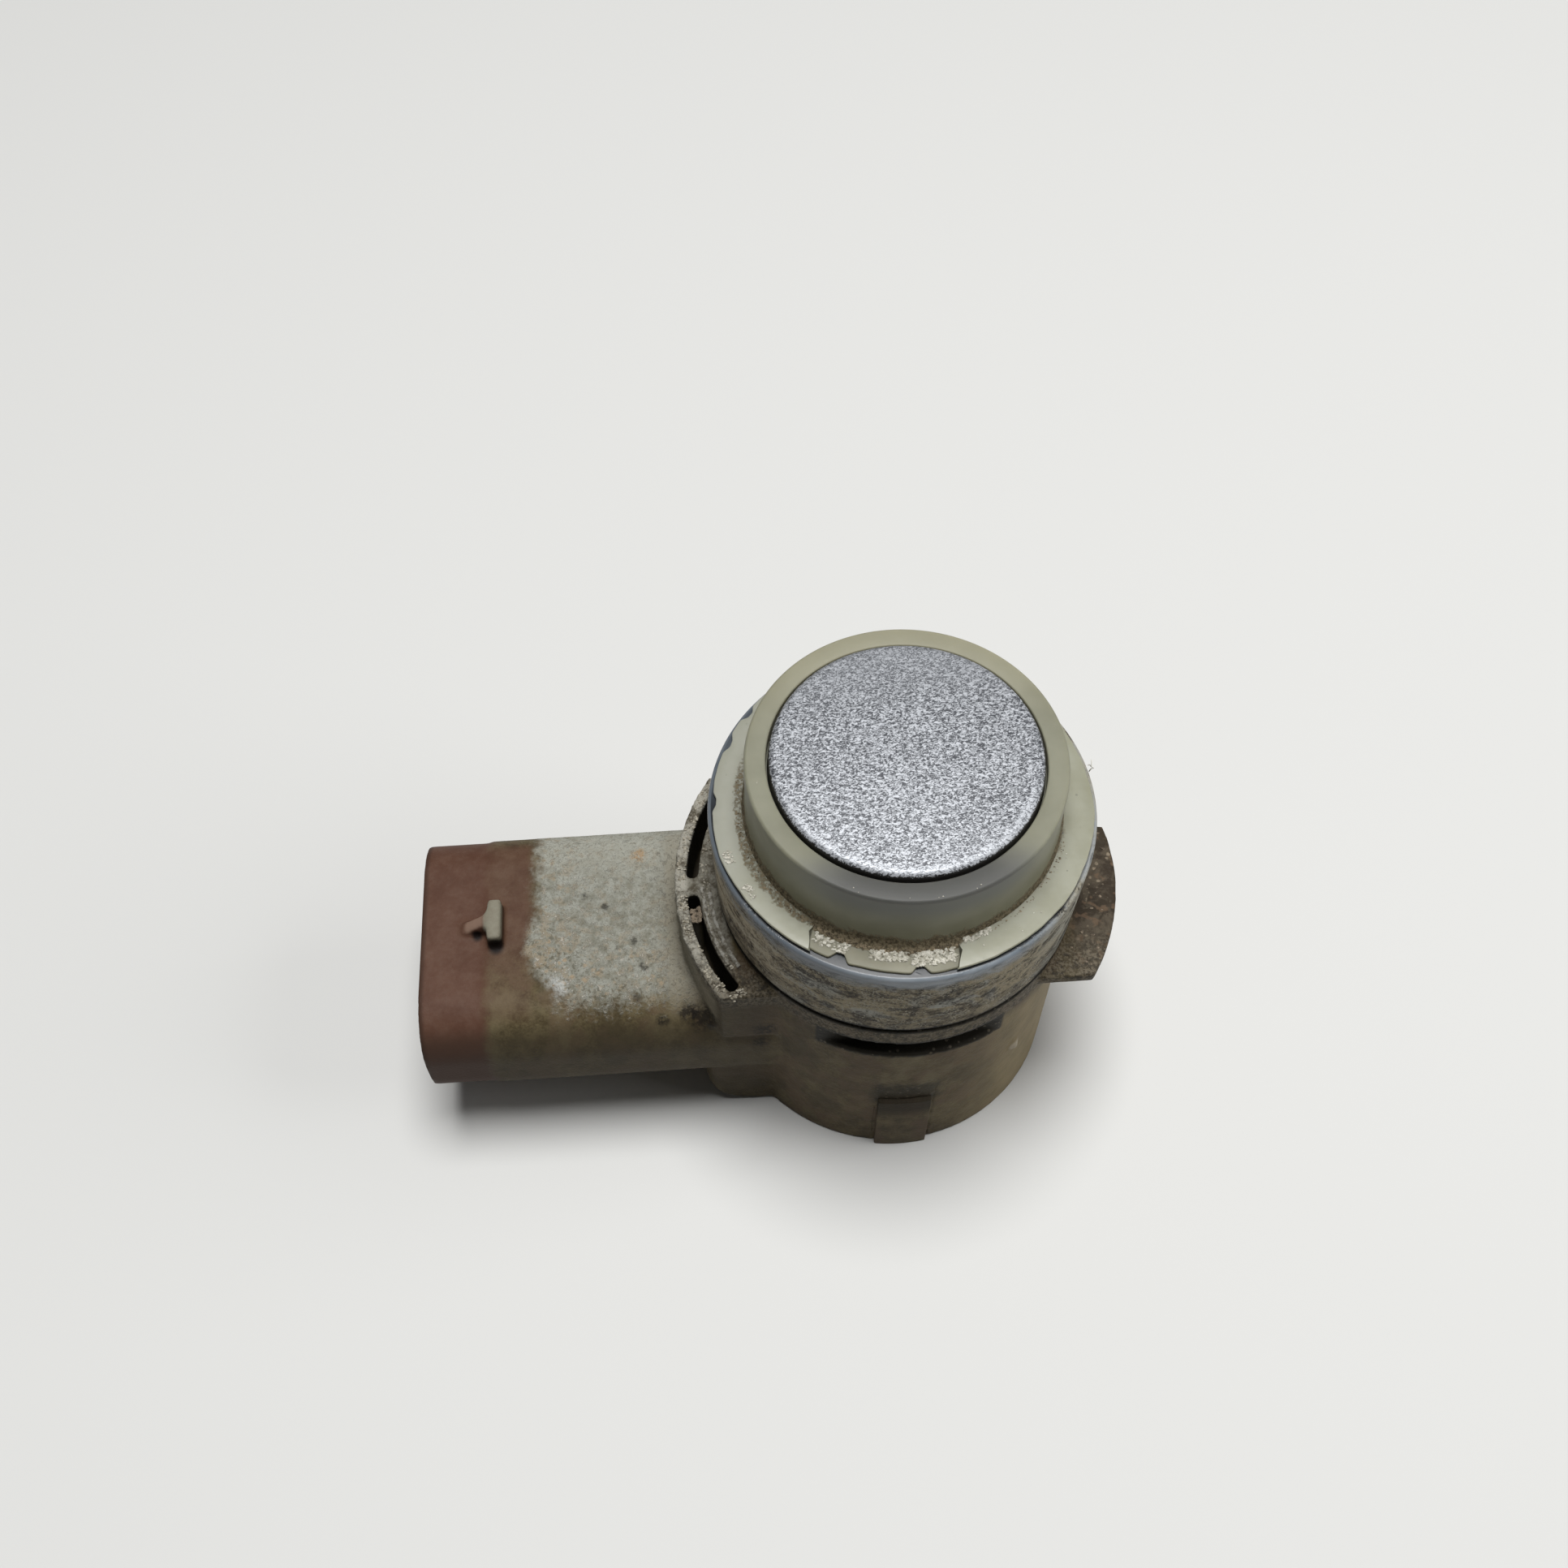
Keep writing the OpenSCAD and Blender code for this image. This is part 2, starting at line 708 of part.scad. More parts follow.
module retaining_ring() {
    seat_r = ring_r - ring_taper - joint_depth;
    color("#aeb9c6")
        rotate_extrude()
            difference() {
                union() {
                    polygon([[0, shoulder_z], [ring_r - ring_taper, shoulder_z],
                        [ring_r, ring_z - ring_edge_r], [0, ring_z - ring_edge_r]]);
                    square([ring_r - ring_edge_r, ring_z]);
                    translate([ring_r - ring_edge_r, ring_z - ring_edge_r])
                        circle(ring_edge_r);
                }
                // Bore over the boss with its bead groove, and bore around the silicone
                square([boss_r + ring_clear, boss_z + ring_clear]);
                translate([boss_r, bead_z])
                    circle(bead_r + ring_clear, $fn = 32);
                square([lip_r + lip_clear, ring_z + past]);
                square([2 * ring_r, shoulder_z]);
                // Open joint above the shoulder
                translate([seat_r, 0])
                    square([2 * ring_r, shoulder_z + joint_h]);
            }
}

housing();
rear_cover();
potting();
circuit_board();
sensor_chip();
transformer_core();
transformer_winding();
buffer_capacitor();
chip_capacitors();
chip_resistors();
supply_pin();
signal_pin();
ground_pin();
transducer_cup();
piezo_disc();
damping_pad();
hot_lead();
ground_lead();
decoupling_ring();
retaining_ring();
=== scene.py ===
import math

import bmesh
import bpy
import numpy as np
from mathutils import Euler, Matrix, Vector


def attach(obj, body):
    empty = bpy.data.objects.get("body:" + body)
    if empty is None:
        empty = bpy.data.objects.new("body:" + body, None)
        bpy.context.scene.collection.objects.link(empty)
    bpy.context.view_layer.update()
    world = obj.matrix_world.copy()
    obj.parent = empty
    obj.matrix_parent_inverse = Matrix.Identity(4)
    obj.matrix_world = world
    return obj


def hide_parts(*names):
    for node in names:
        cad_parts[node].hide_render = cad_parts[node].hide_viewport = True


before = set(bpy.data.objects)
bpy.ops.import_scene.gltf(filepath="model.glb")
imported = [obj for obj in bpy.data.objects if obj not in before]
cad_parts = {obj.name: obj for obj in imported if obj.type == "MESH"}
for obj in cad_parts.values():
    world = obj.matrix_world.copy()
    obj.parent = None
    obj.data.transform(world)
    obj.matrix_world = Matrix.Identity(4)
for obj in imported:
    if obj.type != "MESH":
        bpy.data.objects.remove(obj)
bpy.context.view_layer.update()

# Pieces are drawn in millimetres and brought to metres when they are finished.
MM = 0.001
MERGE_GAP = 1e-4
TURN_STEPS = 288
GROUP_LEVELS = 12


# Tools for modelling


def only(piece):
    """Makes a piece the one that is selected and active."""
    bpy.ops.object.select_all(action="DESELECT")
    piece.select_set(True)
    bpy.context.view_layer.objects.active = piece


def edit(piece):
    only(piece)
    bpy.ops.object.mode_set(mode="EDIT")


def leave_edit():
    bpy.ops.object.mode_set(mode="OBJECT")


def pick_edges(piece, test):
    """Selects the edges whose two ends both pass the test."""
    mesh = bmesh.from_edit_mesh(piece.data)
    bpy.ops.mesh.select_all(action="DESELECT")
    bpy.ops.mesh.select_mode(type="EDGE")
    for edge in mesh.edges:
        edge.select_set(all(test(v.co) for v in edge.verts))
    bmesh.update_edit_mesh(piece.data)


def merge():
    """Merges doubled points in edit mode."""
    bpy.ops.mesh.select_all(action="SELECT")
    bpy.ops.mesh.remove_doubles(threshold=MERGE_GAP)


def refine(cuts):
    """Subdivides all of a piece in edit mode and leaves that mode."""
    bpy.ops.mesh.select_all(action="SELECT")
    bpy.ops.mesh.subdivide(number_cuts=cuts)
    leave_edit()


def lathe(name, section, turn=360.0, start=0.0, steps=TURN_STEPS):
    """Spins a closed section of (radius, height) points and stays in edit mode."""
    along = Vector((math.cos(math.radians(start)), math.sin(math.radians(start)), 0))
    points = [along * r + Vector((0, 0, z)) for r, z in section]
    bpy.ops.object.select_all(action="DESELECT")
    bpy.ops.mesh.primitive_plane_add(size=1, location=(0, 0, 0))
    piece = bpy.context.object
    piece.name = name
    bpy.ops.object.mode_set(mode="EDIT")
    bpy.ops.mesh.select_mode(type="VERT")
    bpy.ops.mesh.select_all(action="SELECT")
    bpy.ops.mesh.merge(type="CENTER")
    bpy.ops.transform.translate(value=points[0])
    for here, there in zip(points, points[1:] + points[:1]):
        bpy.ops.mesh.extrude_region_move(TRANSFORM_OT_translate={"value": there - here})
    merge()
    bpy.ops.mesh.spin(steps=steps, angle=math.radians(turn), center=(0, 0, 0), axis=(0, 0, -1))
    merge()
    if turn < 360:
        bpy.ops.mesh.select_all(action="DESELECT")
        bpy.ops.mesh.select_non_manifold()
        bpy.ops.mesh.fill_holes(sides=0)
    bpy.ops.mesh.select_all(action="SELECT")
    bpy.ops.mesh.normals_make_consistent(inside=False)
    return piece


def round_ring(piece, r, z, width, segments):
    """Rounds the ring-shaped edge at a radius and height."""
    near = 0.02
    pick_edges(piece, lambda c: abs(math.hypot(c.x, c.y) - r) < near and abs(c.z - z) < near)
    bpy.ops.mesh.bevel(offset=width, segments=segments, affect="EDGES")


def apply_modifier(piece, kind, **settings):
    only(piece)
    modifier = piece.modifiers.new(kind.lower(), kind)
    for key, value in settings.items():
        setattr(modifier, key, value)
    bpy.ops.object.modifier_apply(modifier=modifier.name)


def cad_copy(node, name):
    """A merged copy of a CAD node's mesh, in millimetres."""
    piece = bpy.data.objects.new(name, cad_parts[node].data.copy())
    bpy.context.scene.collection.objects.link(piece)
    piece.scale = (1 / MM,) * 3
    only(piece)
    bpy.ops.object.transform_apply(scale=True)
    bpy.ops.mesh.customdata_custom_splitnormals_clear()
    edit(piece)
    merge()
    leave_edit()
    return piece


def roughen(piece, clouds, strength, middle=0.5, where=""):
    """Moves the surface in and out by a texture, within a vertex group where one is named."""
    settings = {"strength": strength, "mid_level": middle, "vertex_group": where}
    apply_modifier(piece, "DISPLACE", texture=clouds, **settings)


def points_of(piece):
    """A piece's vertices and their normals as arrays."""
    count = len(piece.data.vertices)
    places = np.zeros(count * 3, np.float32)
    normals = np.zeros(count * 3, np.float32)
    piece.data.vertices.foreach_get("co", places)
    piece.data.vertex_normals.foreach_get("vector", normals)
    return places.reshape(-1, 3).astype(float), normals.reshape(-1, 3).astype(float)


def joined(pieces, name):
    """Several pieces made one."""
    bpy.ops.object.select_all(action="DESELECT")
    for piece in pieces:
        piece.select_set(True)
    bpy.context.view_layer.objects.active = pieces[0]
    bpy.ops.object.join()
    pieces[0].name = name
    return pieces[0]


def set_points(piece, places):
    piece.data.vertices.foreach_set("co", places.astype(np.float32).ravel())
    piece.data.update()


def polar(places):
    """Radius, and angle in degrees, of points about the barrel's axis."""
    x, y = places[:, 0], places[:, 1]
    return np.hypot(x, y), np.degrees(np.arctan2(y, x))


def degrees_apart(angle, other):
    return np.abs((angle - other + 180) % 360 - 180)


def ease(value, low, high):
    """Rises smoothly from 0 at low to 1 at high."""
    t = np.clip((value - low) / (high - low), 0, 1)
    return t * t * (3 - 2 * t)


def group(piece, name, weights):
    """A vertex group with the weights rounded to a few levels."""
    made = piece.vertex_groups.new(name=name)
    steps = np.round(weights * GROUP_LEVELS).astype(int)
    for level in range(1, GROUP_LEVELS + 1):
        members = np.nonzero(steps == level)[0]
        if len(members):
            made.add(members.tolist(), level / GROUP_LEVELS, "REPLACE")


def texture(name, size, depth=2):
    made = bpy.data.textures.new(name, "CLOUDS")
    made.noise_scale = size
    made.noise_depth = depth
    return made


def done(piece, finish, stands_for=(), smooth_angle=None):
    """Brings a piece to metres, smooths it, and gives it its finish and its place in the part."""
    only(piece)
    piece.scale = (MM,) * 3
    bpy.ops.object.transform_apply(scale=True)
    if smooth_angle is None:
        bpy.ops.object.shade_smooth()
    else:
        bpy.ops.object.shade_smooth_by_angle(angle=math.radians(smooth_angle))
    piece.data.materials.clear()
    piece.data.materials.append(finish)
    piece.vertex_groups.clear()
    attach(piece, "root")
    if stands_for:
        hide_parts(*stands_for)


def dress(node, finish):
    """Gives a CAD node that stays its finish."""
    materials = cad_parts[node].data.materials
    materials.clear()
    materials.append(finish)


# Tools for finishes

NOISE_MIDDLE = 0.5


class Wire:
    """A socket of a finish. Arithmetic on it adds Math nodes."""

    def __init__(self, tree, socket):
        self.tree = tree
        self.socket = socket

    def node(self, kind, settings, sockets, output=0):
        made = self.tree.nodes.new("ShaderNode" + kind)
        for key, value in settings.items():
            setattr(made, key, value)
        for key, value in sockets.items():
            if isinstance(value, Wire):
                self.tree.links.new(value.socket, made.inputs[key])
            else:
                made.inputs[key].default_value = value
        return Wire(self.tree, made.outputs[output])

    def math(self, operation, first, second):
        return self.node("Math", {"operation": operation}, {0: first, 1: second})

    def __add__(self, other):
        return self.math("ADD", self, other)

    __radd__ = __add__

    def __mul__(self, other):
        return self.math("MULTIPLY", self, other)

    __rmul__ = __mul__

    def __sub__(self, other):
        return self.math("SUBTRACT", self, other)

    def __rsub__(self, other):
        return self.math("SUBTRACT", other, self)

    def largest(self, other):
        return self.math("MAXIMUM", self, other)

    def absolute(self):
        return self.math("ABSOLUTE", self, 0.0)

    def swing(self, amount):
        """How far a noise lies above or below its middle, times an amount."""
        return (self - NOISE_MIDDLE) * amount

    def step(self, low, high):
        """Rises smoothly from 0 at low to 1 at high, or falls where low is above high."""
        return self.node(
            "MapRange",
            {"interpolation_type": "SMOOTHSTEP"},
            {"Value": self, "From Min": low, "From Max": high},
        )

    def mix(self, first, second):
        """The first colour at 0 and the second at 1."""
        return self.node("Mix", {"data_type": "RGBA"}, {0: self, 6: first, 7: second}, 2)

    def noise(self, scale, detail, roughness=0.5, distortion=0.0):
        sockets = {"Vector": self, "Scale": scale, "Detail": detail}
        sockets.update({"Roughness": roughness, "Distortion": distortion})
        return self.node("TexNoise", {}, sockets)

    def cells(self, scale):
        """Distance to the nearest of many scattered points."""
        return self.node("TexVoronoi", {}, {"Vector": self, "Scale": scale})

    def axis(self, index):
        return self.node("SeparateXYZ", {}, {0: self}, index)

    def stretched(self, x, y, z):
        return self.node("Mapping", {}, {"Vector": self, "Scale": (x, y, z)})

    def radius(self):
        """Distance from the barrel's axis."""
        flat = self.node("VectorMath", {"operation": "MULTIPLY"}, {0: self, 1: (1, 1, 0)})
        return flat.node("VectorMath", {"operation": "LENGTH"}, {0: flat}, 1)

    def near(self, place, inner, outer):
        """1 within the inner distance of a place and 0 past the outer one."""
        away = self.node("VectorMath", {"operation": "DISTANCE"}, {0: self, 1: place}, 1)
        return away.step(outer, inner)

    def blot(self, place, size, unevenness):
        """A spot that fades out at a distance of its size, broken up by a noise."""
        return (self.near(place, 0.0, size) * (unevenness * 3.2 - 0.9)).step(0.12, 0.75)


def rgb(r, g, b):
    return (r, g, b, 1.0)


class Finish:
    """A material with its shader and the object's coordinates in millimetres."""

    def __init__(self, name):
        self.material = bpy.data.materials.new(name)
        self.material.use_nodes = True
        tree = self.material.node_tree
        self.shader = tree.nodes["Principled BSDF"]
        coordinates = Wire(tree, tree.nodes.new("ShaderNodeTexCoord").outputs["Object"])
        to_mm = {0: coordinates, "Scale": 1 / MM}
        self.at = coordinates.node("VectorMath", {"operation": "SCALE"}, to_mm)
        self.x, self.y, self.z = (self.at.axis(i) for i in range(3))
        self.normal = Wire(tree, tree.nodes.new("ShaderNodeNewGeometry").outputs["Normal"])

    def set(self, **sockets):
        """Links or sets the shader's sockets, with _ for a space in their names."""
        for key, value in sockets.items():
            socket = self.shader.inputs[key.replace("_", " ")]
            if isinstance(value, Wire):
                self.material.node_tree.links.new(value.socket, socket)
            else:
                socket.default_value = value
        return self

    def bump(self, height, depth_mm, strength):
        sockets = {"Height": height, "Distance": depth_mm * MM, "Strength": strength}
        return self.set(Normal=self.at.node("Bump", {}, sockets))


# Finishes

# Dark specks on the connector's crust, and black dirt in the corners of the neck: each one's place
# and how far it reaches
CRUST_SPECKS = [
    ((-19.63, 1.81, 13.1), 0.5),
    ((-18.34, 1.01, 13.1), 0.5),
    ((-15.86, -3.48, 13.1), 0.45),
    ((-16.1, -3.3, 13.1), 0.4),
    ((-16.42, -5.47, 12.9), 0.55),
    ((-16.58, -1.62, 13.1), 0.5),
    ((-20.72, 6.71, 12.6), 0.55),
]
NECK_DIRT = [
    ((-12.4, -6.9, 12.3), 1.9),
    ((-13.3, -6.6, 12.6), 1.3),
    ((-8.6, -7.45, 12.2), 1.7),
    ((-14.9, -6.7, 12.1), 0.8),
    ((-8.9, -7.5, 10.2), 1.2),
]


def silver_finish():
    """Silver paint with a fine leather-like grain. Below the edge of the face it is black, partly
    with dirt and partly painted shade; a painted highlight runs along the front of the edge, and
    painted light makes the grain fainter at the back.
    """
    f = Finish("silver paint")
    radius = f.at.radius()
    grain = f.at.stretched(0.75, 1.15, 1.0).noise(7.4, 1.5, 0.5, 1.0)
    flakes = f.at.noise(13.0, 1.0)
    hollow = (grain + flakes.swing(0.2)).step(0.50, 0.40)
    raised = grain.step(0.51, 0.63)
    # Near black below the edge of the face: partly dirt on the cup's side, partly painted shade on
    # the rounding and the side wall
    painted = (f.z + flakes.swing(0.12) + grain.swing(0.25)).step(30.16, 30.25)
    shade = flakes.step(0.35, 0.65).mix(rgb(0.172, 0.180, 0.193), rgb(0.264, 0.275, 0.294))
    # Painted light: the grain's dark and light marks are fainter towards the back, as the light
    # falls
    painted_light_contrast = 0.6 + f.y.step(7.0, 2.0) * 0.4
    shade = (hollow * painted_light_contrast * 0.95).mix(shade, rgb(0.042, 0.045, 0.053))
    shade = (raised * painted_light_contrast * 0.85).mix(shade, rgb(0.506, 0.525, 0.558))
    # Painted highlight along the front of the face's rounded edge
    rim = (radius + flakes.swing(0.2)).step(7.05, 7.25) * f.y.step(-1.0, -4.5)
    shade = (rim * (0.65 - hollow * 0.4)).mix(shade, rgb(0.48, 0.50, 0.53))
    f.set(Base_Color=painted.mix(rgb(0.010, 0.009, 0.008), shade))
    f.set(Metallic=painted * 0.25, Roughness=0.5 - flakes * 0.1)
    f.bump(flakes * 0.3 + grain * 0.7, 0.03, 0.8)
    return f.material


def silicone_finish():
    """Milky silicone, a little greyer over the dark cup, with painted shade that greys and darkens
    it towards the front and painted light that makes it paler at the back; brown where dirt fills
    its corner.
    """
    f = Finish("silicone")
    radius = f.at.radius()
    cloud = f.at.noise(0.35, 3.0)
    fine = f.at.noise(5.5, 3.0, 0.7)
    shade = cloud.step(0.3, 0.7).mix(rgb(0.182, 0.180, 0.128), rgb(0.225, 0.223, 0.162))
    # Mask of the front, where painted shade greys and darkens the silicone
    front = (f.y + f.x.absolute() * 0.5).step(-2.0, -6.0)
    # Painted light: the silicone paler towards the back
    shade = (f.y.step(1.0, 7.5) * 0.6).mix(shade, rgb(0.280, 0.264, 0.180))
    # Painted shade: the upper wall greyer, a little all round and much more at the front
    thin = (f.z + cloud.swing(0.6)).step(27.4, 29.3) * (0.06 + front * 0.7)
    shade = thin.mix(shade, rgb(0.130, 0.134, 0.125))
    # Painted shade: the top of the lip darker at the front
    shade = (f.z.step(29.7, 29.95) * front * 0.88).mix(shade, rgb(0.060, 0.060, 0.056))
    olive = (f.z + cloud.swing(1.2)).step(28.0, 26.2) * 0.35
    shade = olive.mix(shade, rgb(0.175, 0.162, 0.092))
    beige = cloud.step(0.3, 0.7).mix(rgb(0.165, 0.158, 0.110), rgb(0.212, 0.203, 0.148))
    shade = (f.z.step(25.7, 25.45) * radius.step(9.5, 9.8)).mix(shade, beige)

    # Dirt in the corner of the wall and the flange
    low = (f.z + f.at.noise(0.9, 3.0).swing(1.1)).step(26.5, 25.5)
    low = low * (radius + fine.swing(0.5)).step(9.95, 9.6)
    dirt = (fine + low * 0.5).step(0.66, 0.86) * low.step(0.05, 0.4)
    grime = fine.step(0.35, 0.65).mix(rgb(0.060, 0.048, 0.027), rgb(0.205, 0.168, 0.105))
    f.set(Base_Color=dirt.mix(shade, grime), Roughness=0.5 + dirt * 0.4)
    f.set(Specular_IOR_Level=0.3)
    f.set(Subsurface_Weight=0.3, Subsurface_Radius=(1.0, 0.9, 0.7), Subsurface_Scale=MM)
    f.bump(dirt * fine + f.at.noise(1.2, 2.0) * 0.1, 0.1, 0.7)
    return f.material


def film_finish():
    """Thin beige film over the flange, with brown specks towards the wall."""
    f = Finish("silicone film")
    radius = f.at.radius()
    cloud = f.at.noise(0.5, 3.0)
    fine = f.at.noise(5.0, 3.0, 0.7)
    shade = cloud.step(0.3, 0.7).mix(rgb(0.222, 0.220, 0.156), rgb(0.268, 0.268, 0.205))
    grey = (f.x - f.y * 0.3 + cloud.swing(3.0)).step(-7.0, -10.0) * 0.6
    shade = grey.mix(shade, rgb(0.298, 0.300, 0.255))
    wide = f.x.step(1.0, 5.0) * 0.4 - f.x.step(-4.0, -8.0) * 0.3
    inner = (radius + f.at.noise(0.8, 3.0).swing(0.9) + wide).step(9.95, 9.4)
    ahead = f.y.step(6.0, 3.0)
    dirt = (fine + inner * 0.45 + f.x.step(-4.0, -8.0) * -0.16).step(0.66, 0.9) * inner * ahead
    specks = f.at.cells(1.3).step(0.13, 0.07) * cloud.step(0.45, 0.6)
    grime = fine.step(0.35, 0.65).mix(rgb(0.045, 0.036, 0.02), rgb(0.165, 0.135, 0.08))
    shade = (specks * 0.8).mix(dirt.mix(shade, grime), rgb(0.05, 0.045, 0.035))
    f.set(Base_Color=shade, Roughness=0.40 + dirt * 0.45)
    f.set(Subsurface_Weight=0.2, Subsurface_Radius=(1.0, 0.9, 0.7), Subsurface_Scale=MM)
    f.bump(dirt * fine + f.at.noise(2.2, 2.0) * 0.15, 0.07, 0.7)
    return f.material


def ring_finish():
    """Milky blue-white plastic that disappears downwards under brown and grey grime."""
    f = Finish("ring plastic")
    radius = f.at.radius()
    turn = f.x.math("ARCTAN2", f.x, 0.0 - f.y)
    around = f.at.node("CombineXYZ", {}, {0: turn * 11.2, 1: f.z, 2: radius})
    broad = around.stretched(0.55, 1.0, 1.0).noise(0.42, 4.0, 0.62, 1.0)
    smear = around.stretched(0.6, 1.0, 1.0).noise(0.95, 5.0, 0.66, 0.8)
    patch = around.noise(0.75, 3.0, 0.6)
    fine = f.at.noise(5.0, 3.0, 0.7)
    right = (f.x + broad.swing(4.0)).step(5.0, 9.0)
    left = (f.x + broad.swing(2.0)).step(-6.0, -9.0)
    milk = broad.step(0.3, 0.7).mix(rgb(0.135, 0.160, 0.185), rgb(0.235, 0.258, 0.280))
    # Painted shade: the milky plastic darker towards the left
    milk = (f.x.step(0.0, -6.0) * 0.65).mix(milk, rgb(0.070, 0.083, 0.098))

    # Grime: brown and grey soil, browner towards the foot, sand at the left and chalk at the right
    grit = f.at.noise(8.5, 2.0, 0.6)
    blotch = smear * 0.65 + fine * 0.35
    tint = broad.step(0.46, 0.58)
    dark = tint.mix(rgb(0.050, 0.039, 0.023), rgb(0.058, 0.054, 0.045))
    light = tint.mix(rgb(0.275, 0.233, 0.152), rgb(0.300, 0.296, 0.258))
    soil = blotch.step(0.43, 0.57).mix(dark, light)
    sandy = blotch.step(0.38, 0.58).mix(rgb(0.095, 0.070, 0.040), rgb(0.38, 0.33, 0.24))
    soil = (left * 0.8).mix(soil, sandy)
    powder = right * f.z.step(18.5, 23.5) * smear.step(0.38, 0.54)
    soil = (powder * 0.85).mix(soil, rgb(0.31, 0.30, 0.25))
    low = (f.z + smear.swing(3.0)).step(21.2, 18.6)
    soil = (low * 0.4).mix(soil, rgb(0.060, 0.048, 0.030))
    chalk = grit.step(0.50, 0.60) * patch.step(0.48, 0.58)
    soil = (chalk * 0.75).mix(soil, rgb(0.38, 0.355, 0.285))
    crack = smear.step(0.44, 0.38) * fine.step(0.56, 0.44)
    crack = crack.largest(grit.step(0.40, 0.30) * patch.step(0.56, 0.44))
    soil = (crack * 0.8).mix(soil, rgb(0.016, 0.013, 0.009))
    covered = (f.z + broad.swing(2.6) + smear.swing(2.0) - right * 1.2).step(24.9, 23.4)
    shade = covered.mix(milk, soil)

    # Painted shade, near black, on the top under the flange, darkest at the front and the left, and
    # black foot at the joint
    top = f.z.step(24.98, 25.06) * radius.step(11.15, 11.05)
    # Sectors where the painted shade under the flange is darkest
    shade_sector = f.y.step(-6.0, -9.0).largest(f.x.step(-6.5, -8.5) * f.y.step(3.0, 0.0))
    shade = (top * (0.45 + shade_sector * 0.5)).mix(shade, rgb(0.014, 0.016, 0.018))
    foot = (f.z + fine.swing(0.4) + smear.swing(0.4)).step(18.42, 18.12)
    f.set(Base_Color=foot.mix(shade, rgb(0.012, 0.010, 0.008)))
    f.set(Roughness=0.22 + covered * 0.5, Specular_IOR_Level=0.25)
    f.bump(covered * (fine * 0.6 + smear * 1.5 + chalk * 0.3), 0.12, 0.9)
    return f.material


